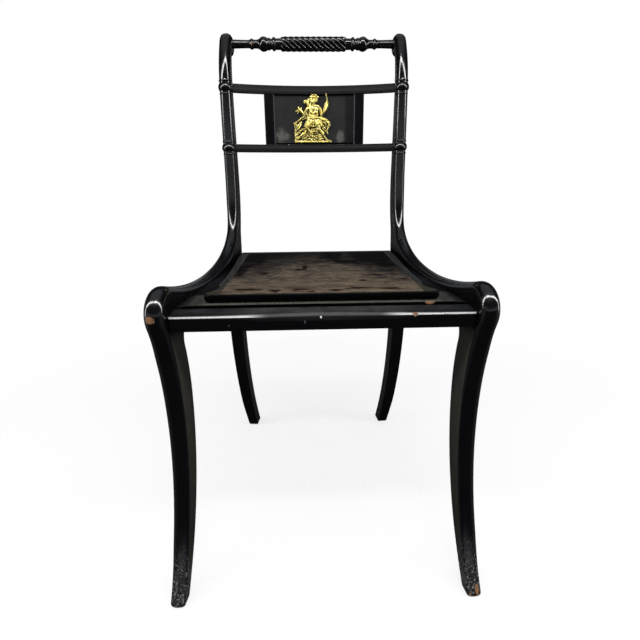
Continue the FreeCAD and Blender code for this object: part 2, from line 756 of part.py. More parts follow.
# ---------------------------------------------------------------- crest rail
# Half of the turned outline outside the rope: distance from the middle, radius.
TURNING = [("line", 66.0, 9.6), ("line", 71.8, 9.6), ("bead", 78.0, 9.0), ("line", 81.8, 9.0),
           ("bead", 87.2, 9.4), ("line", 89.6, 10.4), ("knop", 100.6, 9.2), ("line", 104.0, 7.4),
           ("line", 113.8, 7.4), ("bead", 119.6, 7.2)]
BULGE = {"bead": 1.9, "knop": 2.8}
crest_centre = V(0, on_side(1, 0, size("head_back")).y, CREST_RISE)
socket_floor = on_side(1, -stile_face + size("tenon_length"), size("head_back")).x
crest_end = socket_floor - 1.0
crest_rail = new_body("crest_rail", FreeCAD.Placement(crest_centre, FreeCAD.Rotation()))
core_radius = size("rope_radius") - size("rope_flute_depth") - size("rope_core_inset")


def turned_half(side):
    """Outline of one end, from the rope to the tip that enters the head."""
    curves = []
    here = V(side * size("rope_half_length"), core_radius)
    for kind, place, radius in TURNING:
        there = V(side * place, radius)
        if kind == "line":
            if (there - here).Length > 1e-6:
                curves.append(Part.LineSegment(here, there))
        else:
            middle = (here + there) / 2 + V(0, BULGE[kind])
            curves.append(Part.Arc(here, middle, there))
        here = there
    tip = V(side * crest_end, size("crest_neck_radius"))
    curves.append(Part.LineSegment(here, tip))
    curves.append(Part.LineSegment(tip, V(side * crest_end, 0)))
    return curves


rope_end = size("rope_half_length")
profile = [Part.LineSegment(V(-crest_end, 0), V(crest_end, 0))] + turned_half(1) + turned_half(-1)
profile.append(Part.LineSegment(V(-rope_end, core_radius), V(rope_end, core_radius)))
turning = sketch_on(crest_rail, "XZ_Plane", "crest_turning", profile)
turned = crest_rail.newObject("PartDesign::Revolution", "crest_turned")
turned.Profile = turning
turned.ReferenceAxis = (turning, ["H_Axis"])
turned.Angle = 360

strands = int(size("rope_strands"))
strand_arcs = []
for strand in range(strands):
    turns = [(strand + half) * 360 / strands for half in (-0.5, 0, 0.5)]
    valley = size("rope_radius") - size("rope_flute_depth")
    radii = (valley, size("rope_radius"), valley)
    strand_arcs.append(Part.Arc(*[unit(a) * r for a, r in zip(turns, radii)]))
rope_section = sketch_on(crest_rail, "YZ_Plane", "rope_section", strand_arcs, offset=-rope_end)
centre_line = Part.LineSegment(V(-rope_end, 0), V(rope_end, 0))
rope_axis = sketch_on(crest_rail, "XY_Plane", "rope_axis", [centre_line])
# The guide helix is drawn in the crest rail's own frame.
twist = doc.addObject("Part::Helix", "rope_twist")
twist.setExpression("Pitch", "dims.rope_lead")
twist.setExpression("Height", "2 * dims.rope_half_length")
twist.setExpression("Radius", "dims.rope_radius")
twist.Placement = FreeCAD.Placement(V(-rope_end, 0, 0), FreeCAD.Rotation(V(0, 1, 0), 90))
doc.recompute()
rope = crest_rail.newObject("PartDesign::AdditivePipe", "rope")
rope.Profile = rope_section
rope.Spine = (rope_axis, ["Edge1"])
rope.Mode = "Auxiliary"
rope.AuxiliarySpine = (twist, ["Edge1"])
PARTS.append(crest_rail)

for hand, (_, _, post) in side_frames.items():
    turn = FreeCAD.Rotation(V(0, 1, 0), hand * 90)
    mouth = crest_centre + V(hand * (crest_end - size("tenon_length") - 4), 0, 0)
    place = post.Placement.inverse().multiply(FreeCAD.Placement(mouth, turn))
    round_cut(post, f"{post.Label}_socket", place, "dims.crest_neck_radius + dims.fit_gap",
              size("tenon_length") + 5)
doc.recompute()


# ---------------------------------------------------------------- front and rear seat rails
plank_face = size("plank") / 2


def end_waste(face, front, back, reach):
    """Plan areas beyond the inner faces of the two side planks."""
    areas = []
    for hand in (1, -1):
        inner = [on_side(hand, -hand * face, along) for along in (front, back)]
        areas += polygon([inner[0], V(hand * reach, inner[0].y), V(hand * reach, inner[1].y), inner[1]])
    return areas


def tenon_plans(face, front, back):
    """Plan of the two end tenons of a straight rail; they run in a little to join it."""
    areas = []
    for hand in (1, -1):
        root = -hand * (face + 3)
        tip = -hand * (face - size("tenon_length"))
        areas += polygon([on_side(hand, root, front), on_side(hand, tip, front),
                          on_side(hand, tip, back), on_side(hand, root, back)])
    return areas


def straight_rail(label, section, front, back, tenon_front, tenon_back, tenon_low, tenon_high):
    rail = new_body(label)
    reach = size("frame_half_spread") + 60
    profile = sketch_on(rail, "YZ_Plane", label + "_section", section)
    pad(rail, profile, label + "_blank", 2 * reach, midplane=True)
    beyond = end_waste(plank_face, front - 20, back + 20, reach + 5)
    waste = sketch_on(rail, "XY_Plane", label + "_waste", beyond)
    pocket(rail, waste, label + "_ends", midplane=True)
    tenons = tenon_plans(plank_face, tenon_front, tenon_back)
    sector_pad(rail, label + "_tenons", tenons, tenon_low, tenon_high)
    return rail


front_face = -size("front_rail_front")
back_face = -size("front_rail_back")
low = FRONT_RAIL_BOTTOM
top_front = FRONT_RAIL_TOP
top_back = top_front + size("front_rail_crossfall")
soft = size("rail_arris_radius")
front_section = [
    Part.LineSegment(V(front_face, low + soft), V(front_face, top_front - soft)),
    arc(V(front_face + soft, top_front - soft), soft, 180, 90),
    Part.LineSegment(V(front_face + soft, top_front), V(back_face, top_back)),
    Part.LineSegment(V(back_face, top_back), V(back_face, low)),
    Part.LineSegment(V(back_face, low), V(front_face + soft, low)),
    arc(V(front_face + soft, low + soft), soft, 270, 180),
]
shoulder = size("tenon_shoulder")
front_tenon = (front_face + 12, front_face + 12 + size("tenon_thickness"))
front_heights = (low + shoulder, top_front - shoulder)
front_rail = straight_rail("front_rail", front_section, front_face, back_face, *front_tenon, *front_heights)
PARTS.append(front_rail)

rear_front = size("rear_rail_front")
rear_back = size("rear_rail_back")
rear_section = rectangle(rear_front, REAR_RAIL_BOTTOM, rear_back, LEDGE_TOP)
rear_tenon = (rear_back - 3 - size("tenon_thickness"), rear_back - 3)
rear_heights = (REAR_RAIL_BOTTOM + shoulder, LEDGE_TOP - shoulder)
rear_rail = straight_rail("rear_rail", rear_section, rear_front, rear_back, *rear_tenon, *rear_heights)
PARTS.append(rear_rail)

for hand, (leg, _, post) in side_frames.items():
    inner_side_box(leg, f"{leg.Label}_rail_mortise", hand, size("plank"), size("tenon_length"),
                   front_tenon, front_heights)
    inner_side_box(post, f"{post.Label}_rail_mortise", hand, size("plank"), size("tenon_length"),
                   rear_tenon, rear_heights)
for body in [frame[2] for frame in side_frames.values()]:
    for feature in body.Group:
        if hasattr(feature, "Refine"):
            feature.Refine = False

# ---------------------------------------------------------------- dowels between side rail and post
for hand, side in ((1, "left"), (-1, "right")):
    dowels = []
    for number, height in enumerate(DOWEL_LEVELS):
        dowel = doc.addObject("Part::Cylinder", f"dowel_{side}_{number}")
        dowel.setExpression("Radius", "dims.dowel_radius")
        dowel.setExpression("Height", "dims.dowel_length")
        dowel.Placement = place_side(hand).multiply(dowel_axis(height))
        dowels.append(dowel)
    group = doc.addObject("Part::Compound", f"rail_dowels_{side}")
    group.Label = f"rail_dowels_{side}"
    group.Links = dowels
    PARTS.append(group)


# ---------------------------------------------------------------- ledge boards and corner blocks
def inner_at(hand, depth):
    """Point of the inner face of a side plank at a given depth of the chair."""
    start = on_side(hand, -hand * plank_face, 0)
    along = on_side(hand, -hand * plank_face, 1) - start
    return start + along * ((depth - start.y) / along.y)


ledge_low = LEDGE_TOP - size("ledge_thickness")
ledge_front = -size("front_rail_back") + size("ledge_reveal")
ledge_split = -size("front_ledge_back")
opening_half = size("ledge_opening_half")
ledges = {}
ledge = new_body("ledge_front")
plan = polygon([inner_at(1, ledge_front), inner_at(-1, ledge_front),
                inner_at(-1, ledge_split), inner_at(1, ledge_split)])
sector_pad(ledge, "ledge_front_board", plan, ledge_low, LEDGE_TOP)
ledges[0] = ledge
for hand, side in ((1, "left"), (-1, "right")):
    ledge = new_body(f"ledge_{side}")
    plan = polygon([inner_at(hand, ledge_split), inner_at(hand, rear_front),
                    V(hand * opening_half, rear_front), V(hand * opening_half, ledge_split)])
    sector_pad(ledge, f"ledge_{side}_board", plan, ledge_low, LEDGE_TOP)
    ledges[hand] = ledge
PARTS.extend(ledges.values())

screws = []
for end, depth, inward in (("front", back_face, 1), ("rear", rear_front, -1)):
    for hand, side in ((1, "left"), (-1, "right")):
        label = f"corner_block_{end}_{side}"
        block = new_body(label)
        corner = inner_at(hand, depth)
        leg_length = size("block_leg")
        plan = polygon([corner, inner_at(hand, depth + inward * leg_length),
                        corner - V(hand * leg_length, 0)])
        block_low = ledge_low - size("block_height")
        sector_pad(block, label + "_blank", plan, block_low, ledge_low)
        PARTS.append(block)
        inset = size("screw_inset")
        foot = corner + V(-hand * inset, inward * inset, block_low)
        place = FreeCAD.Placement(foot, FreeCAD.Rotation())
        shank = doc.addObject("Part::Cylinder", f"screw_shank_{end}_{side}")
        shank.setExpression("Radius", "dims.screw_radius")
        shank.setExpression("Height", "dims.screw_length")
        shank.Placement = place
        top = doc.addObject("Part::Cone", f"screw_head_{end}_{side}")
        top.setExpression("Radius1", "dims.screw_head_radius")
        top.setExpression("Radius2", "dims.screw_radius")
        top.setExpression("Height", "dims.screw_head_height")
        top.Placement = place
        screw = doc.addObject("Part::MultiFuse", f"screw_{end}_{side}")
        screw.Shapes = [shank, top]
        screws.append(screw)
        clear = size("fit_gap")
        below = FreeCAD.Placement(foot - V(0, 0, 1), FreeCAD.Rotation())
        round_cut(block, label + "_hole", below, "dims.screw_radius + dims.fit_gap", size("block_height") + 2)
        sunk = block.newObject("PartDesign::SubtractiveCone", label + "_sink")
        sunk.setExpression("Radius1", "dims.screw_head_radius + dims.fit_gap")
        sunk.setExpression("Radius2", "dims.screw_radius + dims.fit_gap")
        sunk.Height = size("screw_head_height")
        sunk.Placement = place
        board = ledges[0] if end == "front" else ledges[hand]
        under = FreeCAD.Placement(V(foot.x, foot.y, ledge_low - 1), FreeCAD.Rotation())
        round_cut(board, f"{label}_board_hole", under, "dims.screw_radius + dims.fit_gap",
                  size("screw_length") - size("block_height") + 1 + clear)
screw_group = doc.addObject("Part::Compound", "block_screws")
screw_group.Label = "block_screws"
screw_group.Links = screws
PARTS.append(screw_group)

# ---------------------------------------------------------------- loose seat
seat_low = LEDGE_TOP + size("seat_rest_gap")
seat_high = seat_low + size("seat_thickness")
field_half = size("seat_field_half")
field_front = -size("seat_front") + size("seat_front_depth")
field_back = size("seat_back") - size("seat_back_strip_depth")
tongue_low = seat_low + (size("seat_thickness") - size("seat_tongue_thickness")) / 2
tongue_high = tongue_low + size("seat_tongue_thickness")
tongue_out = size("seat_tongue")

field = new_body("seat_board")
field_plan = rectangle(-field_half, field_front, field_half, field_back)
sector_pad(field, "seat_field", field_plan, seat_low, seat_high)
sector_pad(field, "seat_field_tongue",
           rectangle(-field_half - tongue_out, field_front - tongue_out, field_half + tongue_out,
                     field_back + tongue_out), tongue_low, tongue_high)
PARTS.append(field)

# The side strips follow the rails: widest at the posts, waisted in front of the middle.
CLAMP_EDGE = [(0.15, 0.0), (0.45, 0.25), (0.78, 0.85)]
for hand, side in ((1, "left"), (-1, "right")):
    clamp = new_body(f"seat_clamp_{side}")
    inner = hand * field_half
    outer_points = [V(hand * size("seat_shoulder_half"), field_front)]
    for along, spread in CLAMP_EDGE:
        half_width = size("seat_waist_half") + spread * (size("seat_back_half") - size("seat_waist_half"))
        outer_points.append(V(hand * half_width, field_front + along * (field_back - field_front)))
    outer_points.append(V(hand * size("seat_back_half"), field_back))
    edge = Part.BSplineCurve()
    edge.interpolate(outer_points)
    clamp_plan = [
        Part.LineSegment(V(inner, field_front), outer_points[0]),
        edge,
        Part.LineSegment(outer_points[-1], V(inner, field_back)),
        Part.LineSegment(V(inner, field_back), V(inner, field_front)),
    ]
    sector_pad(clamp, f"seat_clamp_{side}_bar", clamp_plan, seat_low, seat_high)
    sector_cut(clamp, f"seat_clamp_{side}_groove",
               rectangle(inner - hand * 3, field_front - 3,
                         inner + hand * (tongue_out + gap), field_back + 3),
               tongue_low - gap, tongue_high + gap)
    PARTS.append(clamp)

# The front piece carries the bullnose edge and flares to the corners.
front_half = size("seat_front_half")
corner_round = size("seat_corner_radius")
nose_front = -size("seat_front")
nose_side = nose_front + corner_round
shoulder_half = size("seat_shoulder_half")
corner_centre = V(front_half - corner_round, nose_side)
shoulder = V(shoulder_half, field_front)
flare_radius = size("seat_flare_radius")
flare_centre = circles_meet(corner_centre, flare_radius + corner_round, shoulder, flare_radius, -1)
flare_meet = corner_centre + (flare_centre - corner_centre).normalize() * corner_round
flare_start = angle_of(flare_centre - corner_centre)
flare_bow = [angle_of(point - flare_centre) % 360 for point in (flare_meet, shoulder)]

nosing = new_body("seat_front_piece")
right_side = [
    arc(corner_centre, corner_round, -90, flare_start),
    arc(flare_centre, flare_radius, *flare_bow),
]
left_side = [curve.copy() for curve in right_side]
for curve in left_side:
    curve.mirror(V(0, 0, 0), V(0, 1, 0))
nose_plan = [
    Part.LineSegment(V(shoulder_half, field_front), V(-shoulder_half, field_front)),
    Part.LineSegment(V(-corner_centre.x, nose_front), V(corner_centre.x, nose_front)),
] + right_side + left_side
nose_blank = sector_pad(nosing, "seat_front_bar", nose_plan, seat_low, seat_high)
doc.recompute()
rim = []
for number, bar_edge in enumerate(nose_blank.Shape.Edges, start=1):
    level = abs(bar_edge.Vertexes[0].Z - bar_edge.Vertexes[-1].Z) < 0.01
    ahead = min(vertex.Y for vertex in bar_edge.Vertexes) < field_front - 0.5
    if level and ahead:
        rim.append(f"Edge{number}")
bullnose = nosing.newObject("PartDesign::Fillet", "seat_front_bullnose")
bullnose.Base = (nose_blank, rim)
bullnose.setExpression("Radius", "dims.seat_nosing_radius")
sector_cut(nosing, "seat_front_groove",
           rectangle(-field_half - tongue_out - gap, field_front - tongue_out - gap,
                     field_half + tongue_out + gap, field_front + 3), tongue_low - gap, tongue_high + gap)
PARTS.append(nosing)

back_half = size("seat_back_half")
strip = new_body("seat_back_strip")
sector_pad(strip, "seat_back_strip_bar", rectangle(-back_half, field_back, back_half, size("seat_back")),
           seat_low, seat_high)
sector_cut(strip, "seat_back_strip_groove",
           rectangle(-field_half - tongue_out - gap, field_back - 3, field_half + tongue_out + gap,
                     field_back + tongue_out + gap), tongue_low - gap, tongue_high + gap)
PARTS.append(strip)

clear = size("batten_clearance")
for name, start in (("front", ledge_split + clear), ("rear", rear_front - clear - size("batten_width"))):
    batten = new_body(f"seat_batten_{name}")
    half = opening_half - clear
    sector_pad(batten, f"seat_batten_{name}_bar", rectangle(-half, start, half, start + size("batten_width")),
               seat_low - size("batten_thickness"), seat_low)
    PARTS.append(batten)
doc.recompute()

# ---------------------------------------------------------------- stand the chair on the frame's origin
# Everything above is drawn from the middle of the seat; the origin is under the middle of the overall depth.
stand = FreeCAD.Placement(V(0, -size("origin_setback"), 0), FreeCAD.Rotation())
for item in PARTS:
    item.Placement = stand.multiply(item.Placement)
doc.recompute()

# ---------------------------------------------------------------- check and write
for item in doc.Objects:
    if "Invalid" in item.State or "Error" in item.State:
        raise RuntimeError(f"{item.Label}: {item.State}")
os.makedirs("parts", exist_ok=True)
for item in PARTS:
    if item.Shape.isNull() or not item.Shape.isValid():
        raise RuntimeError(f"{item.Label}: bad shape")
    item.Shape.exportStep(f"parts/{item.Label}.step")
    box = item.Shape.BoundBox
    corners = (box.XMin, box.YMin, box.ZMin, box.XMax, box.YMax, box.ZMax)
    print(item.Label, len(item.Shape.Solids), round(item.Shape.Volume / 1000, 1), "cm3",
          [round(corner, 1) for corner in corners])
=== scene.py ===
# The looks of a black and gilt sabre-leg side chair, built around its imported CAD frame.
# Lengths are millimetres in the CAD's frame until a mesh is made; Blender's own units are metres.
from math import asin, atan2, cos, degrees, exp, pi, radians, sin, sqrt

import bmesh
import bpy
import numpy as np
from mathutils import Matrix, Vector


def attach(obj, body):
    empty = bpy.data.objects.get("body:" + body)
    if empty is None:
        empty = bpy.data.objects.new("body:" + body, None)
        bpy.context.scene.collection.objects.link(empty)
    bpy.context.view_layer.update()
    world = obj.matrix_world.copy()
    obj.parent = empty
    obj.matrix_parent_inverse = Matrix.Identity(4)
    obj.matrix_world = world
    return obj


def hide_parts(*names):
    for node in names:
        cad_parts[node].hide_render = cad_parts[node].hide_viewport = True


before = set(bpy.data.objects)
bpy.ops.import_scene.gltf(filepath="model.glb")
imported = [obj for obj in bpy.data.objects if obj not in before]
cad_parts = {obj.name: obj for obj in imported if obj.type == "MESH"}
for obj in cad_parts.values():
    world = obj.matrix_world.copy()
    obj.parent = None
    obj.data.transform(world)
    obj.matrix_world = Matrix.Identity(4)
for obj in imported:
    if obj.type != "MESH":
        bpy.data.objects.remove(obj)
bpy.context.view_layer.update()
MM = 0.001


# ---------------------------------------------------------------- mesh helpers
def skin(rings):
    """A closed skin over a run of rings with equal numbers of points, capped at both ends."""
    rings = np.asarray(rings, float)
    count, around = rings.shape[:2]
    faces = []
    for i in range(count - 1):
        for j in range(around):
            k = (j + 1) % around
            faces.append((i * around + j, i * around + k, (i + 1) * around + k, (i + 1) * around + j))
    faces.append(tuple(range(around))[::-1])
    faces.append(tuple(range((count - 1) * around, count * around)))
    return rings.reshape(-1, 3), faces


def lathe(profile, centre, axis, segments=48):
    """Closed turned shape; the profile is (distance along the axis, radius)."""
    axis = np.asarray(axis, float)
    side = np.cross(axis, [0.0, 1.0, 0.0])
    if np.linalg.norm(side) < 0.1:
        side = np.cross(axis, [1.0, 0.0, 0.0])
    side /= np.linalg.norm(side)
    other = np.cross(axis, side)
    turns = np.linspace(0, 2 * pi, segments, endpoint=False)
    rim = np.outer(np.cos(turns), side) + np.outer(np.sin(turns), other)
    rings = [np.asarray(centre) + axis * along + rim * max(radius, 0.01) for along, radius in profile]
    return skin(rings)


def rounded_turn(points, radius=0.5, steps=3):
    """A turned profile with its corners eased."""
    soft = [points[0]]
    for before, here, after in zip(points, points[1:], points[2:]):
        b, h, a = (np.array(p, float) for p in (before, here, after))
        reach = min(radius, np.linalg.norm(b - h) * 0.45, np.linalg.norm(a - h) * 0.45)
        start = h + (b - h) / max(np.linalg.norm(b - h), 1e-9) * reach
        end = h + (a - h) / max(np.linalg.norm(a - h), 1e-9) * reach
        for t in np.linspace(0, 1, steps):
            soft.append(tuple((1 - t) ** 2 * start + 2 * t * (1 - t) * h + t ** 2 * end))
    soft.append(points[-1])
    return soft


def new_piece(node, shells, material, ending="shaped", crease=32):
    """A black piece of the frame from closed shells in millimetres, in place of a CAD node.
    A shell may carry a third item, how dull each of its points is."""
    points, faces, dull, offset = [], [], [], 0
    for shell in shells:
        points.append(np.asarray(shell[0], float))
        faces += [tuple(int(v) + offset for v in face) for face in shell[1]]
        dull.append(shell[2] if len(shell) > 2 else np.zeros(len(shell[0])))
        offset += len(shell[0])
    name = f"{node}_{ending}"
    mesh = bpy.data.meshes.new(name)
    mesh.from_pydata((np.vstack(points) * MM).tolist(), [], faces)
    mesh.attributes.new("dull", "FLOAT", "POINT").data.foreach_set("value", np.concatenate(dull))
    return dress(mesh, name, material, node, crease=crease)


def dress(mesh, name, material, node, body="frame", crease=32):
    """Makes a mesh a finished piece, which rides on a body in place of a CAD node."""
    work = bmesh.new()
    work.from_mesh(mesh)
    bmesh.ops.recalc_face_normals(work, faces=work.faces)
    work.to_mesh(mesh)
    work.free()
    mesh.shade_smooth()
    mesh.set_sharp_from_angle(angle=radians(crease))
    cover(mesh, material)
    piece = add_object(name, mesh)
    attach(piece, body)
    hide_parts(node)
    return piece


def add_object(name, data):
    made = bpy.data.objects.new(name, data)
    bpy.context.scene.collection.objects.link(made)
    return made


def cover(mesh, material):
    mesh.materials.clear()
    mesh.materials.append(material)


def softened(node, width, material, body="frame"):
    """A CAD node's shape with its arrises eased as a plane and years of hands leave them."""
    work = bmesh.new()
    work.from_mesh(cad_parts[node].data)
    bmesh.ops.remove_doubles(work, verts=work.verts, dist=0.02 * MM)
    bmesh.ops.dissolve_limit(work, angle_limit=radians(1.0), verts=work.verts, edges=work.edges)
    sharp = [e for e in work.edges if len(e.link_faces) == 2 and e.calc_face_angle(0) > radians(30)]
    bmesh.ops.bevel(work, geom=sharp, offset=width * MM, segments=3, profile=0.5,
                    affect="EDGES", clamp_overlap=True)
    bmesh.ops.triangulate(work, faces=[f for f in work.faces if len(f.verts) > 4])
    mesh = bpy.data.meshes.new(node + "_soft")
    work.to_mesh(mesh)
    work.free()
    return dress(mesh, node + "_soft", material, node, body)


# ---------------------------------------------------------------- material helpers
class Tree:
    """Short calls that build a node tree; distances in it are metres."""

    def __init__(self, tree):
        self.tree = tree
        self.tree.nodes.clear()

    def feed(self, socket, value):
        if isinstance(value, bpy.types.NodeSocket):
            self.tree.links.new(value, socket)
        else:
            socket.default_value = value

    def add(self, kind, inputs=None, **settings):
        """A node of a kind named without its ShaderNode prefix."""
        made = self.tree.nodes.new("ShaderNode" + kind)
        for key, value in settings.items():
            setattr(made, key, value)
        for key, value in (inputs or {}).items():
            self.feed(made.inputs[key], value)
        return made

    def node(self, kind, inputs=None, output=0, **settings):
        return self.add(kind, inputs, **settings).outputs[output]

    def math(self, operation, a, b=0.0, clamp=False):
        return self.node("Math", {0: a, 1: b}, operation=operation, use_clamp=clamp)

    def times(self, a, b):
        return self.math("MULTIPLY", a, b)

    def plus(self, a, b, clamp=False):
        return self.math("ADD", a, b, clamp)

    def minus(self, a, b, clamp=False):
        return self.math("SUBTRACT", a, b, clamp)

    def span(self, value, low, high, to_low=0.0, to_high=1.0, smooth=True):
        """Share from to_low to to_high as the value goes from low to high."""
        return self.node("MapRange", {0: value, 1: low, 2: high, 3: to_low, 4: to_high},
                         interpolation_type="SMOOTHSTEP" if smooth else "LINEAR")


class Paint(Tree):
    """One material's node tree, with the object's own axes to paint by."""

    def __init__(self, name):
        self.material = bpy.data.materials.new(name)
        self.material.use_nodes = True
        super().__init__(self.material.node_tree)
        self.output = self.add("OutputMaterial")
        self.shader = self.add("BsdfPrincipled")
        self.feed(self.output.inputs[0], self.shader.outputs[0])
        self.place = self.node("TexCoord", output="Object")
        self.x, self.y, self.z = self.add("SeparateXYZ", {0: self.place}).outputs
        self.aside = self.math("ABSOLUTE", self.x)

    def noise(self, scale, detail=3.0, roughness=0.55, stretch=(1, 1, 1), distortion=0.0):
        where = self.node("Mapping", {"Vector": self.place, "Scale": stretch})
        return self.node("TexNoise", {"Vector": where, "Scale": scale, "Detail": detail,
                                      "Roughness": roughness, "Distortion": distortion})

    def mix(self, share, a, b):
        a, b = (v if isinstance(v, bpy.types.NodeSocket) else (*v, 1.0) for v in (a, b))
        return self.node("Mix", {0: share, 6: a, 7: b}, output=2, data_type="RGBA")

    def spot(self, centre, size, ragged=0.5, grain=260.0, fade=0.15, stretch=(1, 1, 1)):
        """Ragged patch round a point in millimetres: 1 inside, 0 outside."""
        offset = self.node("VectorMath", {0: self.place, 1: [c * MM for c in centre]},
                           operation="SUBTRACT")
        scaled = self.node("VectorMath", {0: offset, 1: [1 / (s * MM) for s in size]},
                           operation="MULTIPLY")
        reach = self.node("VectorMath", {0: scaled}, output=1, operation="LENGTH")
        rough = self.minus(self.noise(grain, 4.0, 0.65, stretch=stretch), 0.5)
        return self.span(self.plus(reach, self.times(rough, 2 * ragged)), 1.05, 1.05 - fade)

    def spots(self, marks, *how):
        """All the patches of a list of (centre, size)."""
        return self.union([self.spot(centre, size, *how) for centre, size in marks])

    def union(self, masks):
        total = masks[0]
        for mask in masks[1:]:
            total = self.math("MAXIMUM", total, mask)
        return total

    def bump(self, layers):
        """Stacked bumps, each (height, depth in metres, strength)."""
        normal = None
        for height, depth, strength in layers:
            inputs = {"Height": height, "Distance": depth, "Strength": strength}
            if normal is not None:
                inputs["Normal"] = normal
            normal = self.node("Bump", inputs)
        self.set(Normal=normal)

    def set(self, **sockets):
        for name, value in sockets.items():
            self.feed(self.shader.inputs[name.replace("_", " ")], value)


# Bands that the paint follows, in metres along one axis: where each begins and where it is full.
PANEL_SHADE_END = (0.056, 0.066)
PANEL_SEAM_SHADE = ((0.7320, 0.7340), (0.6488, 0.6474))
MUNTIN_REACH = (0.110, 0.100)
LEG_SIDE_SHEEN = (0.40, 0.03)
TOE_LOW, TOE_FRONT = (0.085, 0.012), (-0.20, -0.24)
SHADED_LOW, SHADED_HIGH = (0.388, 0.400), (0.446, 0.438)
SLOT_FRONT, SLOT_BACK, SLOT_TOP = (-0.1914, -0.1904), (-0.1792, -0.1797), (0.4231, 0.4227)
LEDGE_FACE, LEDGE_ENDS = (0.4227, 0.4230), (0.150, 0.168)
TOP_FACE, TOP_DULL = (0.4165, 0.4178), (0.4170, 0.4180)
TOP_DEPTH, TOP_ENDS = (-0.213, -0.200), (0.150, 0.085)
ARRIS_LOW, ARRIS_HIGH, ARRIS_ENDS = (0.4157, 0.4166), (0.4184, 0.4176), (0.070, 0.105)
CENTRAL_SHIFT, CENTRAL_ENDS, CENTRAL_LOW = 0.006, (0.115, 0.070), (0.410, 0.413)
WEAR_BACK, WEAR_SHIFT, WEAR_SIDES, WEAR_FRONT = (-0.150, 0.205), 0.010, (0.045, 0.135), (-0.13, -0.05)
RED_FRONT = (-0.125, -0.165)
SEAT_ENDS, CLAMP_JOINT, JOINT_FRONT = (0.1365, 0.1380), (0.1402, 0.1418), (-0.120, -0.114)
SEAT_FACE = (0.4345, 0.4362)

# Marks on the lacquer, each its place and size in millimetres: chips through to the wood, small nicks
# painted near white as painted glints, faint grey dents, and smudges of dust low on the panel.
CHIPS = [
    ((-213.9, -231.6, 419), (6.4, 8, 4.8)), ((144.2, -180.8, 422.4), (6.6, 4, 2.6)),
    ((116.8, -215.6, 416.2), (3.8, 3.6, 2.8)), ((-186, -180.8, 422.4), (7, 1.3, 1.2)),
    ((219.4, -271, 11), (3.2, 7, 8)), ((208.6, -277.4, 7), (2.2, 4, 7)),
    ((213, -277.4, 2.4), (9, 5, 2.2)), ((-116.6, 226, 820.5), (1.2, 4, 3.4)),
]
NICK_GLINTS = [((-3.8, -216.8, 414.9), (1.3, 3, 1.5)), ((-52, 226, 644.6), (1, 8, 0.9))]
DENTS = [((-24.2, -217.8, 409.2), (1.2, 1.2, 2.2)), ((-120.5, -217.8, 406), (1.1, 1.2, 1.1))]
SMUDGES = [((-67, 233, 661), (20, 30, 15)), ((52, 234, 658), (10, 30, 17))]


def panel_lacquer(name):
    """Tablet panel: brown-black lifted to dark grey as a painted sheen, dusty low in its corners, with
    painted shade towards the sitter's left and along its seams.
    """
    p = Paint(name)
    cloud = p.noise(30, 4, 0.6)
    fine = p.noise(500, 3, 0.65)
    # painted sheen: the worn black is lifted to a dark grey
    colour = p.mix(cloud, (0.0110, 0.0110, 0.0104), (0.0190, 0.0190, 0.0184))
    # painted shade: darker towards the sitter's left
    colour = p.mix(p.span(p.x, *PANEL_SHADE_END), colour, (0.0035, 0.0036, 0.0040))
    dust = p.times(p.spots(SMUDGES, 0.9, 110, 0.8), p.span(fine, 0.35, 0.65, 0.3, 1))
    colour = p.mix(p.times(dust, 0.9), colour, (0.125, 0.125, 0.112))
    # painted shade: near black along the seams where the panel meets the rails
    seam_shade = p.union([p.span(p.z, *band) for band in PANEL_SEAM_SHADE])
    colour = p.mix(seam_shade, colour, (0.0004, 0.0004, 0.0005))
    p.set(Base_Color=colour, Roughness=p.span(cloud, 0.3, 0.7, 0.24, 0.36))
    p.set(Specular_IOR_Level=p.span(seam_shade, 0, 1, 0.5, 0.03))
    p.bump([(cloud, 0.001, 0.1), (fine, 0.0002, 0.1)])
    return p.material


# Painted light and shade on the dull sides above the feet: near black in the shade under the seat's edge,
# then greys standing in for what they mirror. Each band gives where it begins and is full (m), and its
# colour.
SIDE_LIGHT_AND_SHADE = [
    (0.375, 0.400, (0.0016, 0.0016, 0.0017)),
    (0.438, 0.452, (0.032, 0.030, 0.026)),
    (0.530, 0.620, (0.019, 0.018, 0.016)),
]


def lacquer_ground(p, flat, smear, tone, wear):
    """The lacquer's colour: black where it shines, grey where it is worn, and on the dull sides painted
    light and shade in place of their reflections.
    """
    dark = tuple(tone + v for v in (0.0010, 0.0010, 0.0018))
    light = tuple(tone * 1.3 + v for v in (0.0030, 0.0029, 0.0030))
    deep = p.mix(p.noise(14, 4, 0.6), dark, light)
    # painted reflection: the legs' dull sides lighter up the leg than at the foot
    side = p.mix(p.span(p.z, *LEG_SIDE_SHEEN), (0.050, 0.047, 0.038), (0.021, 0.020, 0.0155))
    for begins, full, shade in SIDE_LIGHT_AND_SHADE:
        side = p.mix(p.span(p.z, begins, full), side, shade)
    # the muntins' beads, nearer the middle than any other dull side, painted grey-blue as a painted
    # highlight
    side = p.mix(p.span(p.aside, *MUNTIN_REACH), side, (0.050, 0.051, 0.056))
    deep = p.mix(p.times(flat, p.span(smear, 0.2, 0.6, 0.75, 1)), deep, side)
    return p.mix(p.times(p.span(smear, 0.42, 0.72), wear), deep, (0.050, 0.047, 0.043))


def slot_shadow(p):
    """Where nothing lights the slot between the front rail and the ledge behind it."""
    across = p.times(p.span(p.y, *SLOT_FRONT), p.span(p.y, *SLOT_BACK))
    return p.times(across, p.span(p.z, *SLOT_TOP))


def ledge_dust(p, colour, speck):
    """Dust on the front ledge's top, thinner at its ends."""
    top = p.times(p.span(p.z, *LEDGE_FACE), p.span(speck, 0.38, 0.60, 0.25, 1))
    return p.mix(p.times(top, p.span(p.aside, *LEDGE_ENDS, 1, 0.35)), colour, (0.095, 0.091, 0.078))


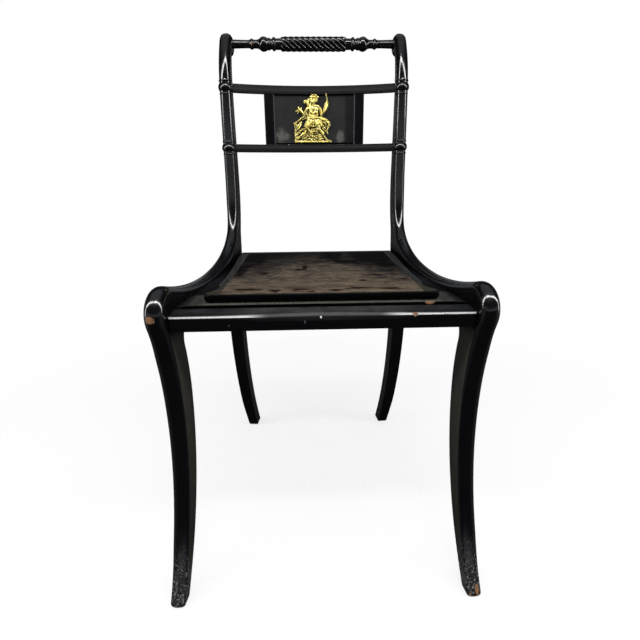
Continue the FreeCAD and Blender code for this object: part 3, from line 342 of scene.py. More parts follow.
def rail_painted_sheen(p, colour, smear):
    """The front rail's top painted grey as a painted reflection, lighter in the middle and towards the
    back, and a pale line painted along its arris as a painted highlight, fainter in the middle.
    """
    top = p.times(p.span(p.z, *TOP_FACE), p.span(smear, 0.25, 0.6, 0.3, 1))
    # painted reflection on the rail's top
    grey = p.mix(p.span(p.aside, *TOP_ENDS), (0.018, 0.019, 0.022), (0.036, 0.037, 0.035))
    colour = p.mix(p.times(top, p.span(p.y, *TOP_DEPTH, 0.20, 0.8)), colour, grey)
    # painted highlight along the arris
    line = p.times(p.span(p.z, *ARRIS_LOW), p.span(p.z, *ARRIS_HIGH))
    line = p.times(line, p.span(p.aside, *ARRIS_ENDS, 0.12, 1))
    return p.mix(p.times(p.times(line, p.span(smear, 0.28, 0.42)), 0.9), colour, (0.50, 0.50, 0.49))


def bare_wood(p):
    """Beech in the chips, with dirt in its pores."""
    grain = p.noise(380, 4, 0.7, stretch=(1, 1, 0.3))
    wood = p.mix(p.span(grain, 0.35, 0.68), (0.15, 0.058, 0.018), (0.29, 0.145, 0.062))
    return p.mix(p.span(p.noise(520, 3, 0.7), 0.52, 0.60), wood, (0.03, 0.015, 0.01))


def lacquer(name, tone=0, wear=0, gloss=0.10, shine=1, arris_rub_and_highlight=False, dusty_top=False):
    """Black japanning over beech: tone lifts the black, wear greys and dulls it in patches."""
    p = Paint(name)
    # the dull sides: duller polish, and the places of their painted light and shade
    flat = p.node("Attribute", output=2, attribute_name="dull")
    smear = p.noise(45, 5, 0.65, distortion=0.6)
    speck = p.noise(330, 5, 0.75, distortion=0.8)
    colour = lacquer_ground(p, flat, smear, tone, wear)
    front_feet = p.times(p.span(p.z, *TOE_LOW), p.span(p.y, *TOE_FRONT))
    scuffs = p.times(p.span(speck, 0.53, 0.61), front_feet)
    colour = p.mix(p.times(scuffs, 0.85), colour, (0.24, 0.235, 0.22))
    slot = slot_shadow(p) if arris_rub_and_highlight or dusty_top else 0
    colour = p.mix(slot, colour, (0.0003, 0.0003, 0.0003))
    if dusty_top:
        colour = ledge_dust(p, colour, speck)
    # the front rail: painted sheen on its top and a painted highlight on its arris; its rubbed dullness
    # follows below
    if arris_rub_and_highlight:
        colour = rail_painted_sheen(p, colour, smear)
    chips = p.spots(CHIPS)
    # painted glints: near white where small nicks dent the lacquer
    nick_glints = p.spots(NICK_GLINTS, 0.25)
    colour = p.mix(chips, colour, bare_wood(p))
    colour = p.mix(nick_glints, colour, (0.5, 0.5, 0.48))
    colour = p.mix(p.spots(DENTS, 0.25), colour, (0.05, 0.05, 0.05))

    scratch = p.span(p.noise(90, 2, 0.5, (1, 14, 1), 0.4), 0.66, 0.69)
    rough = p.span(smear, 0.3, 0.8, gloss, gloss + 0.08 + 0.2 * wear, smooth=False)
    rough = p.plus(p.plus(rough, p.times(scratch, 0.10)), p.times(flat, 0.22))
    # inner faces under the seat's edge, the slot and the middle of the front rail hardly mirror
    shaded = p.times(p.span(p.z, *SHADED_LOW), p.span(p.z, *SHADED_HIGH))
    slot = p.times(slot, p.minus(1, chips))
    faded = [slot, p.times(shaded, p.times(flat, 0.85))]
    uncoated = [flat, scuffs, slot]
    if arris_rub_and_highlight:
        central = p.span(p.math("ABSOLUTE", p.minus(p.x, CENTRAL_SHIFT)), *CENTRAL_ENDS)
        central = p.times(central, p.span(p.z, *CENTRAL_LOW))
        rough = p.plus(rough, p.times(p.span(p.z, *TOP_DULL), 0.18))
        rough = p.plus(rough, p.times(central, 0.55))
        faded.append(p.times(central, 0.85))
        uncoated += [p.span(p.z, *TOP_FACE), central]
    rough = p.plus(rough, p.times(p.union([scuffs, chips]), 0.4), clamp=True)
    coat = p.times(p.minus(1, p.union(uncoated), clamp=True), 0.4 * (1 - wear) * shine)
    p.set(Base_Color=colour, Roughness=rough, Coat_Weight=coat, Coat_Roughness=0.10)
    p.set(Specular_IOR_Level=p.span(p.union(faded), 0, 1, 0.65 * shine, 0.03, smooth=False))
    pits = p.minus(1, p.union([chips, nick_glints]))
    p.bump([(p.noise(26, 2, 0.5), 0.0016, 0.12), (p.noise(420, 3, 0.6), 0.0003, 0.05),
            (scuffs, 0.0004, 0.35), (pits, 0.0006, 0.8)])
    return p.material


# Marks on the seat in millimetres, each (x, y, half-width, half-depth): dark stains where the polish
# stayed, a crooked knot, and reddish smears.
SEAT_LEVEL = 436.7
STAINS = [(105, 120, 48, 95), (28, 130, 26, 62), (-120, 110, 26, 95), (52, 62, 30, 26), (-75, 165, 34, 24),
          (118, 28, 20, 34), (-128, -10, 10, 60)]
KNOT = [(-24, 10, 4.8, 20), (-32, -10, 10.5, 9)]
SMEARS = [(-103, -150, 26, 8), (-66, -160, 11, 10), (-30, -154, 14, 6), (52, -150, 22, 7),
          (96, -156, 17, 6), (-14, -166, 8, 4), (18, -162, 13, 6), (62, -102, 9, 7), (126, -95, 8, 8),
          (88, -62, 12, 7), (70, 40, 10, 12), (-90, -40, 9, 12)]


def on_seat(marks, deep):
    return [((x, y, SEAT_LEVEL), (wide, long, deep)) for x, y, wide, long in marks]


def seat_tone(p, blotch, streak, mottle, fine):
    """How far the polish is worn off: most in the middle and towards the sitter's knees."""
    back = p.span(p.y, *WEAR_BACK, smooth=False)
    flake = p.noise(170, 5, 0.75, stretch=(0.35, 1, 1), distortion=0.6)
    stain = p.spots(on_seat(STAINS, 20), 0.9, 85, 0.5, (0.4, 1, 1))
    edges = p.span(p.math("ABSOLUTE", p.plus(p.x, WEAR_SHIFT)), *WEAR_SIDES, 0, 0.20)
    edges = p.times(edges, p.span(p.y, *WEAR_FRONT))
    middle = p.spots(on_seat([(6, -20, 75, 62)], 20), 0.5, 40)
    tone = p.minus(p.minus(0.90, p.times(back, 0.82)), p.times(stain, 0.36))
    tone = p.plus(p.minus(tone, edges), p.times(middle, 0.17))
    for texture, amount in ((blotch, 0.85), (streak, 0.95), (mottle, 0.85), (fine, 1), (flake, 1.35)):
        tone = p.plus(tone, p.times(p.minus(texture, 0.5), amount))
    return tone


def seat_wood(name):
    """Old seat board: black polish worn through to dull brown towards the sitter's knees."""
    p = Paint(name)
    streak = p.noise(60, 6, 0.7, stretch=(0.20, 1, 1), distortion=0.5)
    blotch = p.noise(26, 6, 0.68, stretch=(0.8, 1, 1), distortion=0.8)
    mottle = p.noise(95, 5, 0.7, distortion=0.4)
    fine = p.noise(420, 4, 0.65, stretch=(0.10, 1, 1))
    tone = seat_tone(p, blotch, streak, mottle, fine)
    black, brown, worn = (0.0022, 0.0019, 0.0019), (0.026, 0.0220, 0.0195), (0.118, 0.091, 0.063)
    colour = p.mix(p.span(tone, 0.08, 0.55, smooth=False), black, brown)
    colour = p.mix(p.span(tone, 0.50, 1.15, smooth=False), colour, worn)
    red = p.noise(38, 4, 0.6, stretch=(0.35, 1, 1))
    ahead = p.plus(p.times(p.span(p.y, *RED_FRONT), 0.95), 0.12)
    colour = p.mix(p.times(p.span(red, 0.50, 0.64), ahead), colour, (0.040, 0.016, 0.012))
    smears = p.spots(on_seat(SMEARS, 8), 1.1, 330, 0.5, (0.22, 0.6, 1))
    knot = p.union([smears, p.spots(on_seat(KNOT, 6), 0.3)])
    colour = p.mix(p.times(knot, 0.92), colour, (0.0085, 0.0028, 0.0022))
    corner = p.times(p.span(p.aside, *SEAT_ENDS), p.span(mottle, 0.3, 0.6, 0.6, 1))
    colour = p.mix(corner, colour, (0.020, 0.020, 0.0165))
    joint = p.times(p.span(p.aside, *CLAMP_JOINT), p.span(p.y, *JOINT_FRONT))
    colour = p.mix(joint, colour, (0.0008, 0.0008, 0.0008))
    top = p.span(p.z, *SEAT_FACE)
    colour = p.mix(top, (0.0015, 0.0016, 0.0018), colour)
    rough = p.times(p.span(streak, 0.2, 0.8, 0.5, 0.75, smooth=False), p.span(top, 0, 1, 0.4, 1))
    p.set(Base_Color=colour, Roughness=rough, Specular_IOR_Level=0.03)
    p.bump([(blotch, 0.0015, 0.2), (streak, 0.0008, 0.25), (mottle, 0.0006, 0.2), (fine, 0.0003, 0.35)])
    return p.material


def beech(name):
    """Bare secondary wood inside the frame, brown with age."""
    p = Paint(name)
    rings = p.noise(70, 5, 0.65, stretch=(0.2, 1, 1), distortion=0.8)
    flecks = p.noise(700, 3, 0.6, stretch=(0.08, 1, 1))
    colour = p.mix(rings, (0.16, 0.085, 0.04), (0.36, 0.22, 0.12))
    colour = p.mix(p.times(p.span(flecks, 0.5, 0.7), 0.5), colour, (0.10, 0.05, 0.025))
    p.set(Base_Color=colour, Roughness=p.span(rings, 0.2, 0.8, 0.55, 0.75))
    p.bump([(flecks, 0.0003, 0.3)])
    return p.material


def gilding(name):
    """Fire-gilt brass, darkened in its hollows by ambient occlusion as painted shade."""
    p = Paint(name)
    cast = p.noise(1300, 4, 0.7)
    patch = p.noise(150, 4, 0.6)
    occlusion_shade = p.node("AmbientOcclusion", {"Distance": 0.0050}, output=1, samples=8)
    colour = p.mix(p.span(patch, 0.35, 0.7), (1, 0.88, 0.32), (1, 0.79, 0.19))
    # painted shade: near black where the ambient occlusion finds hollows
    colour = p.mix(p.span(occlusion_shade, 0.50, 0.78), (0.055, 0.032, 0.001), colour)
    p.set(Base_Color=colour, Roughness=p.span(patch, 0.3, 0.7, 0.24, 0.36), Metallic=0.88)
    p.bump([(cast, 0.0003, 0.4), (patch, 0.0006, 0.3)])
    return p.material


def iron(name):
    """Old screw heads, browned with rust."""
    p = Paint(name)
    rust = p.noise(600, 4, 0.7)
    p.set(Base_Color=p.mix(rust, (0.09, 0.075, 0.065), (0.16, 0.085, 0.05)), Metallic=0.8,
          Roughness=p.span(rust, 0.3, 0.7, 0.4, 0.7))
    p.bump([(rust, 0.0002, 0.5)])
    return p.material


BLACK = lacquer("black_lacquer")
RAIL_BLACK = lacquer("front_rail_lacquer", arris_rub_and_highlight=True)
MUNTIN_BLACK = lacquer("muntin_lacquer", gloss=0.16, shine=0.20)
# Both cross rails' black is lifted as a painted sheen, the lower rail's a little less, as painted shade
# under the tablet.
CROSS_BLACK = lacquer("cross_rail_lacquer", tone=0.009, gloss=0.16)
LOWER_BLACK = lacquer("lower_rail_lacquer", tone=0.007, gloss=0.14)
PANEL_BLACK = panel_lacquer("panel_lacquer")
WORN_BLACK = lacquer("worn_black_lacquer", tone=0.002, wear=0.18, gloss=0.34, dusty_top=True)
DULL_BLACK = lacquer("inner_rail_lacquer", gloss=0.34, shine=0.22)
CLAMP_BLACK = lacquer("clamp_lacquer", tone=0.003, wear=0.12, gloss=0.42)
SEAT_WOOD = seat_wood("worn_seat_wood")
BEECH = beech("aged_beech")
GILT = gilding("fire_gilding")
IRON = iron("old_iron")

# ---------------------------------------------------------------- side frames
HALF_SPREAD = 189.9
FLARE = radians(6.0)          # the sides run apart towards the front
SETBACK = 25.35
HALF_PLANK = 12.75
HALF_FOOT = 10.5
HALF_STILE = 10.3
TAPER_TOP = 400.0
STILE_TAPER = (438.0, 482.0)
FRONT_WAIST, FRONT_WAIST_RISE = 175.0, 262.0
FRONT_SWEEP_LOW, FRONT_SWEEP_HIGH = 470.0, 345.0
BACK_WAIST, BACK_WAIST_RISE = 132.7, 295.0
BACK_SWEEP_LOW, BACK_SWEEP_HIGH = 500.0, 285.0
KNEE, THROAT = 36.0, 25.0
SADDLE_RISE, SADDLE_SWEEP, RAIL_DEPTH = 430.0, 620.0, 45.0
KNEE_JOINT = 98.0
POST_FRONT, POST_DEPTH = 175.0, 34.0
REAR_SWEEP, REAR_RISE = 650.0, 340.0
HEEL = np.array([POST_FRONT + 46.0, 450.0])
STILE_DEPTH_LOW, STILE_DEPTH_HIGH = 36.0, 17.0
HEAD = np.array([262.0, 818.5])
HEAD_RADIUS = 19.5
HEAD_MEETS_FRONT, HEAD_MEETS_BACK = 153.0, -128.0
SWEEP = [(-100, 0.012), (-53, 0.035), (-17, 0.070), (8, 0.112), (27, 0.191), (37, 0.325),
         (41, 0.560), (44, 0.760), (52, 0.915)]
RAIL_UNDER = SADDLE_RISE - RAIL_DEPTH
# The rounded front edges: width across the plank and depth, each from the foot or front to its far end.
LEG_SPREAD, LEG_CROWN = (8.6, 11.8), (4.6, 11.8)
LEG_SWELL = (0.46, 0.70)          # shares of the leg's run where the crown swells
RAIL_CROWN = (11.8, 10.4)
STILE_CROWN, REAR_LEG_CROWN = 9.6, 1.6
# How much fuller than the CAD's plank the legs and the stile are, and how far their feet are rounded.
LEG_OUTWARD, STILE_OUTWARD, LEG_BOTH_SIDES, KNEE_SWELL = 1.3, 1.9, 0.4, 0.9
LEG_FOOT, POST_FOOT = 2.2, 1.6
SAMPLES = 2000                    # along the sweep's line and along the back's


def unit(angle):
    return np.array([cos(radians(angle)), sin(radians(angle))])


def angle_of(vector):
    return degrees(atan2(vector[1], vector[0]))


def circles_meet(c1, r1, c2, r2, side):
    gap = np.linalg.norm(c2 - c1)
    along = (gap ** 2 + r1 ** 2 - r2 ** 2) / (2 * gap)
    across = sqrt(r1 ** 2 - along ** 2)
    forward = (c2 - c1) / gap
    return c1 + forward * along + np.array([-forward[1], forward[0]]) * (across * side)


def arc(centre, radius, start, end, count, facing):
    """Points on an arc and their normals; facing is 1 away from the centre and -1 towards it."""
    turns = np.radians(np.linspace(start, end, count))
    out = np.stack([np.cos(turns), np.sin(turns)], 1)
    return np.hstack([centre + radius * out, facing * out])


def line(start, end, count, normal):
    shares = np.linspace(0, 1, count)[:, None]
    points = (1 - shares) * np.asarray(start) + shares * np.asarray(end)
    return np.hstack([points, np.tile(normal, (count, 1))])


class Spline:
    """Smooth curve through points with given end directions."""

    def __init__(self, points, start, end):
        self.points = np.asarray(points, float)
        steps = np.linalg.norm(np.diff(self.points, axis=0), axis=1)
        self.knots = np.concatenate([[0.0], np.cumsum(steps)])
        slopes = np.diff(self.points, axis=0) / steps[:, None]
        count = len(self.points)
        system = np.eye(count)
        wanted = np.zeros((count, 2))
        wanted[0] = np.asarray(start) / np.linalg.norm(start)
        wanted[-1] = np.asarray(end) / np.linalg.norm(end)
        for i in range(1, count - 1):
            system[i, i - 1:i + 2] = steps[i], 2 * (steps[i - 1] + steps[i]), steps[i - 1]
            wanted[i] = 3 * (steps[i] * slopes[i - 1] + steps[i - 1] * slopes[i])
        self.rates = np.linalg.solve(system, wanted)

    def at(self, places):
        places = np.asarray(places, float)
        i = np.clip(np.searchsorted(self.knots, places, side="right") - 1, 0, len(self.knots) - 2)
        h = (self.knots[i + 1] - self.knots[i])[:, None]
        t = (places[:, None] - self.knots[i][:, None]) / h
        p0, p1, m0, m1 = self.points[i], self.points[i + 1], self.rates[i] * h, self.rates[i + 1] * h
        here = ((2 * t ** 3 - 3 * t ** 2 + 1) * p0 + (t ** 3 - 2 * t ** 2 + t) * m0
                + (3 * t ** 2 - 2 * t ** 3) * p1 + (t ** 3 - t ** 2) * m1)
        rate = ((6 * t ** 2 - 6 * t) * p0 + (3 * t ** 2 - 4 * t + 1) * m0
                + (6 * t - 6 * t ** 2) * p1 + (3 * t ** 2 - 2 * t) * m1)
        rate /= np.linalg.norm(rate, axis=1)[:, None]
        return here, rate


front_low = np.array([-FRONT_WAIST - FRONT_SWEEP_LOW, FRONT_WAIST_RISE])
front_high = np.array([-FRONT_WAIST - FRONT_SWEEP_HIGH, FRONT_WAIST_RISE])
back_low = np.array([-BACK_WAIST - BACK_SWEEP_LOW, BACK_WAIST_RISE])
back_high = np.array([-BACK_WAIST - BACK_SWEEP_HIGH, BACK_WAIST_RISE])
saddle = np.array([0.0, SADDLE_RISE + SADDLE_SWEEP])
under_sweep = SADDLE_SWEEP + RAIL_DEPTH
knee = circles_meet(front_high, FRONT_SWEEP_HIGH + KNEE, saddle, SADDLE_SWEEP + KNEE, -1)
throat = circles_meet(back_high, BACK_SWEEP_HIGH + THROAT, saddle, under_sweep + THROAT, -1)
joint_angle = -90 - degrees(asin(KNEE_JOINT / SADDLE_SWEEP))

sweep_height = HEAD[1] - SADDLE_RISE
sweep_points = [(0.0, SADDLE_RISE)]
sweep_points += [(POST_FRONT + setback, SADDLE_RISE + share * sweep_height) for setback, share in SWEEP]
sweep_points.append(tuple(HEAD + HEAD_RADIUS * unit(HEAD_MEETS_FRONT)))
crest_line = Spline(sweep_points, (1, 0), -unit(HEAD_MEETS_FRONT + 90))
sweep_samples = np.linspace(0, crest_line.knots[-1], SAMPLES)
sweep_places, _ = crest_line.at(sweep_samples)
post_start = float(np.interp(POST_FRONT, sweep_places[:, 0], sweep_samples))


def stile_depth(height):
    low = SADDLE_RISE + SWEEP[4][1] * sweep_height
    share = (height - low) / (HEAD[1] - low)
    return STILE_DEPTH_LOW + share * (STILE_DEPTH_HIGH - STILE_DEPTH_LOW)


back_points = [tuple(HEAD + HEAD_RADIUS * unit(HEAD_MEETS_BACK))]
for setback, share in reversed(SWEEP[4:]):
    level = SADDLE_RISE + share * sweep_height
    back_points.append((POST_FRONT + setback + stile_depth(level), level))
back_points += [tuple(HEEL), (POST_FRONT + POST_DEPTH, REAR_RISE)]
back_line = Spline(back_points, (-0.2, -1), (0, -1))
back_samples, back_rates = back_line.at(np.linspace(0, back_line.knots[-1], SAMPLES))


def back_at(heights):
    """Points and outward normals on the post's back at given heights."""
    rise = back_samples[::-1, 1]
    setback, out, up = (np.interp(heights, rise, values[::-1])
                        for values in (back_samples[:, 0], -back_rates[:, 1], back_rates[:, 0]))
    return np.stack([setback, heights, out, up], 1)


def crest_run(places):
    """Points and inward normals along the sweep from the rail to the head."""
    points, rates = crest_line.at(places)
    return np.hstack([points, np.stack([rates[:, 1], -rates[:, 0]], 1)])


CROWN_STEPS = 9
ARRIS_STEPS = 3
QUIRK_HALF = 0.8


def section(crown, spread, quirk, arris):
    """Half of a plank's section: (inset from its face, distance from the crest or the back, group).
    The crest is a quarter ellipse, spread wide across the plank and crown deep."""
    half = []
    for step in range(CROWN_STEPS + 1):
        turn = pi / 2 * step / CROWN_STEPS
        half.append((spread * (1 - sin(turn)), crown * (1 - cos(turn)), "crest"))
    middle = crown + QUIRK_HALF + 0.3
    for offset in (-QUIRK_HALF, -0.25, 0.25, QUIRK_HALF, QUIRK_HALF + 0.5):
        half.append((quirk if abs(offset) < QUIRK_HALF else 0, middle + offset, "crest"))
    for step in range(ARRIS_STEPS + 1):
        turn = pi / 2 * step / ARRIS_STEPS
        half.append((arris * (1 - cos(turn)), arris * (1 - sin(turn)), "back"))
    return half


def stand(hand, across, setback, height):
    """A point of a side frame in the chair's own axes."""
    turn = hand * FLARE
    return np.array([across * cos(turn) - setback * sin(turn) + hand * HALF_SPREAD,
                     across * sin(turn) + setback * cos(turn) - SETBACK, height])


def plank(crest, inside, hand, half_at, crown, quirk=0.0, arris=1.2, spread=None):
    """Skin of a plank between its crest and its back; half_at gives half the thickness at a height."""
    count = len(crest)
    spread = crown if spread is None else spread
    crown, spread, quirk, arris = (np.broadcast_to(np.asarray(v, float), count)
                                   for v in (crown, spread, quirk, arris))
    rings = []
    for i in range(count):
        right = []
        for inset, behind, group in section(crown[i], spread[i], quirk[i], arris[i]):
            if group == "crest":
                y, z = crest[i, :2] + crest[i, 2:] * behind
            else:
                y, z = inside[i, :2] - inside[i, 2:] * behind
            right.append((half_at(y, z) - inset, y, z))
        middle_front = (0.0, *crest[i, :2])
        middle_back = (0.0, *inside[i, :2])
        ring = [middle_front] + right + [middle_back] + [(-x, y, z) for x, y, z in right[::-1]]
        ring = [(x + hand * outward(z) if x * hand > 3 else x, y, z) for x, y, z in ring]
        rings.append([stand(hand, *point) for point in ring])
    glossy = CROWN_STEPS + 3
    around = len(rings[0])
    place = np.arange(around)
    dull = ((place > glossy) & (place < around - glossy)).astype(float)
    return (*skin(rings), np.tile(dull, count))


def ramp(value, low, high):
    """Smooth share from 0 at low to 1 at high."""
    share = min(max((value - low) / (high - low), 0.0), 1.0)
    return share * share * (3 - 2 * share)


def leg_bulge(z):
    """Share of a leg's fuller middle at a height: none at the floor and none at the seat."""
    return ramp(z, 20, 90) * ramp(z, 400, 350)


def outward(z):
    """Extra thickness on a side frame's outer face, on the legs and on the stile."""
    return LEG_OUTWARD * leg_bulge(z) + STILE_OUTWARD * ramp(z, 480, 545)


def taper(z):
    return HALF_FOOT + (HALF_PLANK - HALF_FOOT) * min(z / TAPER_TOP, 1.0)


def leg_half(y, z):
    """Half-thickness of a front leg: tapered to the foot, a little swelled at the knee."""
    at_knee = exp(-((z - 425.0) / 32.0) ** 2) * exp(-((y + 225.0) / 40.0) ** 2)
    return taper(z) + LEG_BOTH_SIDES * leg_bulge(z) + KNEE_SWELL * at_knee - foot_round(z, LEG_FOOT)


def stile_half(_, z):
    """Half-thickness of a back post or side rail."""
    share = (z - STILE_TAPER[0]) / (STILE_TAPER[1] - STILE_TAPER[0])
    upper = HALF_PLANK + (HALF_STILE - HALF_PLANK) * min(max(share, 0.0), 1.0)
    return min(upper, taper(z)) - foot_round(z, POST_FOOT)


def foot_round(height, radius):
    """How far the foot's edge is worn back at a height above the floor."""
    if height >= radius:
        return 0.0
    return radius - sqrt(max(radius ** 2 - (radius - height) ** 2, 0.0))


# Heights of the stations where the sole's edge turns in, and how many follow above them.
SOLE_LEVELS = [0.0, 0.15, 0.5, 1.0, 1.8, 2.8, 4.2, 6.0, 8.5, 12.0]
LEG_START, LEG_STATIONS = 18.0, 46
SOLE_BLEND = 45.0
TOE_WEAR = 7.0
HEEL_WEAR = 2.5


def leg_runs(crest_centre, crest_radius, back_centre, back_radius, side, toe, heel):
    """Crest and back of a leg's lower arcs as stations paired by height above the floor. The arcs bulge
    to a side, 1 for backwards and -1 for forwards; toe and heel are the wear of the sole's edges."""
    runs = []
    for centre, radius, wear, inward in ((crest_centre, crest_radius, toe, 1),
                                         (back_centre, back_radius, heel, -1)):
        levels = np.concatenate([SOLE_LEVELS, np.linspace(LEG_START, centre[1], LEG_STATIONS)])
        turns = np.arcsin((levels - centre[1]) / radius)
        out = np.stack([side * np.cos(turns), np.sin(turns)], 1)
        level_cut = np.stack([1 / (out[:, 0] * side), np.zeros(len(out))], 1)
        share = np.clip(levels / SOLE_BLEND, 0, 1)[:, None]
        normals = out * side * share + level_cut * (1 - share)
        worn = np.array([foot_round(level, wear) for level in levels])[:, None]
        points = centre + radius * out + normals * worn * inward
        points[:, 1] = levels
        runs.append(np.hstack([points, normals]))
    return runs


def knee_run(high, radius, bend, bend_radius, sweep):
    """On from a leg's lower arc: its upper arc, the knee or throat, and the saddle's arc to the joint."""
    return np.vstack([
        arc(high, radius, 0, angle_of(bend - high), 26, 1)[1:],
        arc(bend, bend_radius, angle_of(high - bend) % 360, angle_of(saddle - bend), 30, -1)[1:],
        arc(saddle, sweep, angle_of(bend - saddle), joint_angle, 12, 1)[1:],
    ])


def build_front_leg(hand, side):
    """Sabre leg with its knee; its front is flat low down and swells to a half-round at the knee."""
    crest_low, inside_low = leg_runs(front_low, FRONT_SWEEP_LOW, back_low, BACK_SWEEP_LOW, 1,
                                     TOE_WEAR, HEEL_WEAR)
    crest = np.vstack([crest_low, knee_run(front_high, FRONT_SWEEP_HIGH, knee, KNEE, SADDLE_SWEEP)])
    inside = np.vstack([inside_low, knee_run(back_high, BACK_SWEEP_HIGH, throat, THROAT, under_sweep)])
    share = np.linspace(0, 1, len(crest))
    swell = np.clip((share - LEG_SWELL[0]) / (LEG_SWELL[1] - LEG_SWELL[0]), 0, 1)
    swell = swell * swell * (3 - 2 * swell)
    spread = np.interp(share, (0, 0.4), LEG_SPREAD)
    crown = np.interp(swell, (0, 1), LEG_CROWN)
    quirk = 0.55 * np.clip((0.80 - share) / 0.12, 0, 1)
    shell = plank(crest, inside, hand, leg_half, crown, quirk, spread=spread)
    return new_piece(f"front_leg_{side}", [shell], BLACK)


RAIL_STATIONS = 60


def build_side_rail(hand, side):
    """Seat side rail between the knee joint and the post."""
    places = np.linspace(0, post_start, RAIL_STATIONS)
    sweep = crest_run(places)
    crest = np.vstack([arc(saddle, SADDLE_SWEEP, joint_angle, -90, 24, 1), sweep[1:]])
    under_line = [(y, RAIL_UNDER, 0.0, -1.0) for y in sweep[:, 0]]
    inside = np.vstack([arc(saddle, under_sweep, joint_angle, -90, 24, 1), under_line[1:]])
    crown = np.linspace(*RAIL_CROWN, len(crest))
    shell = plank(crest, inside, hand, stile_half, crown, quirk=0.5)
    return new_piece(f"side_rail_{side}", [shell], BLACK)


HIDDEN = 8          # stations of the post that lie inside the side rail
UPPER_STATIONS = 16
EYE_STEPS = 10


def post_head(hand):
    """Round scrolled end of the stile, with a sunk ring and a button on each face."""
    rim = [(HALF_STILE - 10.0 + 10.0 * cos(t), HEAD_RADIUS - 10.05 + 10.0 * sin(t))
           for t in np.linspace(0, pi / 2, EYE_STEPS)]
    face = rounded_turn([(HALF_STILE - 0.5, 0.0), (HALF_STILE - 0.5, 3.0), (HALF_STILE - 1.6, 3.4),
                         (HALF_STILE - 1.6, 5.2), (HALF_STILE, 5.6), (HALF_STILE, 8.2), rim[0]], 0.4)
    half = face[:-1] + rim
    profile = [(-a, r) for a, r in half] + [(a, r) for a, r in half[::-1]]
    profile = [(a + hand * outward(HEAD[1]) * ramp(a * hand, 0, 6), r) for a, r in profile]
    return lathe(profile, stand(hand, 0.0, *HEAD), across_axis(hand), 72)


def across_axis(hand):
    return np.array([cos(hand * FLARE), sin(hand * FLARE), 0.0])


def build_post(hand, side):
    """Rear sabre leg, stile and head, with the collars where the cross rails enter."""
    places = np.concatenate([np.linspace(post_start, post_start + 18, HIDDEN),
                             np.linspace(post_start + 18, crest_line.knots[-1], 92)[1:]])
    crest = crest_run(places)
    root = np.array([POST_FRONT, RAIL_UNDER])
    slope = HEEL - root
    slope_out = np.array([slope[1], -slope[0]]) / np.linalg.norm(slope)
    inner = line(root, HEEL, HIDDEN, slope_out)
    rise = crest[HIDDEN:, 1]
    start, end = crest[HIDDEN - 1, 1], crest[-1, 1]
    top = back_points[0][1]
    share = (rise - start) / (end - start)
    back_heights = HEEL[1] + (top - HEEL[1]) * (share + 0.10 * share * (1 - share))
    inside = np.vstack([inner, back_at(back_heights)])
    arris = np.concatenate([np.full(HIDDEN, 0.02), np.full(len(rise), 1.6)])
    stile = plank(crest, inside, hand, stile_half, STILE_CROWN, quirk=0.9, arris=arris)

    front_centre = np.array([POST_FRONT + REAR_SWEEP, REAR_RISE])
    back_centre = front_centre + [POST_DEPTH, 0]
    leg_crest, leg_inside = leg_runs(front_centre, REAR_SWEEP, back_centre, REAR_SWEEP, -1, 3.0, 3.0)
    above_crest = line((POST_FRONT, REAR_RISE), root, UPPER_STATIONS, (1, 0))[1:]
    above_inside = back_at(np.linspace(REAR_RISE, HEEL[1], UPPER_STATIONS))[1:]
    leg = plank(np.vstack([leg_crest, above_crest]), np.vstack([leg_inside, above_inside]), hand,
                stile_half, REAR_LEG_CROWN, arris=1.4)
    shells = [stile, leg, post_head(hand)]
    for middle in UPPER_MIDDLE, LOWER_MIDDLE + LOWER_LIFT:
        shells.append(collar(hand, middle))
    return new_piece(f"back_post_{side}", shells, BLACK)


# Heights of the cross rails' middles; the lower one stands a little higher than in the CAD.
UPPER_MIDDLE, LOWER_MIDDLE, LOWER_LIFT = 742.75, 634.25, 3.2
COLLAR_BALL, BALL_HALF, COLLAR_RING, COLLAR_NECK = 14.0, 11.4, 12.4, 10.6
COLLAR_SETBACK, COLLAR_ASIDE = 10.6, 0.9


def collar(hand, height):
    """Ball between two rings, turned round the stile where a cross rail enters."""
    upright = sweep_places[SAMPLES // 2:]
    crest_y = float(np.interp(height, upright[:, 1], upright[:, 0]))
    ball = [(BALL_HALF * sin(t), COLLAR_BALL * cos(t)) for t in np.linspace(-0.86, 0.86, 25)]
    neck, bead = ball[-1][0] + 0.9, COLLAR_RING - 1.5
    ring = [(ball[-1][0] + 0.3, COLLAR_NECK), (neck, COLLAR_NECK)]
    ring += [(neck + 1.5 - 1.5 * cos(t), bead + 1.5 * sin(t))
             for t in np.linspace(0, pi * 0.9, 8)]
    ring += [(neck + 3.4, 9.8), (neck + 4.6, 9.4)]
    end = ring[-1][0]
    profile = [(-end, 0.0)] + [(-a, r) for a, r in ring[::-1]] + ball + ring + [(end, 0.0)]
    across = across_axis(hand)
    centre = stand(hand, 0.0, crest_y + COLLAR_SETBACK, height)
    points, faces = lathe(profile, centre + across * hand * COLLAR_ASIDE, (0, 0, 1), 56)
    offset = (points - centre) @ across * -hand
    beyond = np.clip(offset - HALF_STILE - 1.0, 0, None)
    return points + np.outer(beyond * 0.85, across * hand), faces


for hand, side in ((1, "left"), (-1, "right")):
    build_front_leg(hand, side)
    build_side_rail(hand, side)
    build_post(hand, side)


# ---------------------------------------------------------------- crest rail
CREST = np.array([0.0, 262.0 * cos(FLARE) - SETBACK, 820.8])
CREST_END = 164.0
CORE_START, CORE_RADIUS = 40.0, 8.0       # the turned end begins inside the rope
ROPE_HALF, ROPE_RADIUS, FLUTE, STRANDS, LEAD = 62.0, 12.5, 3.6, 7, 74.5
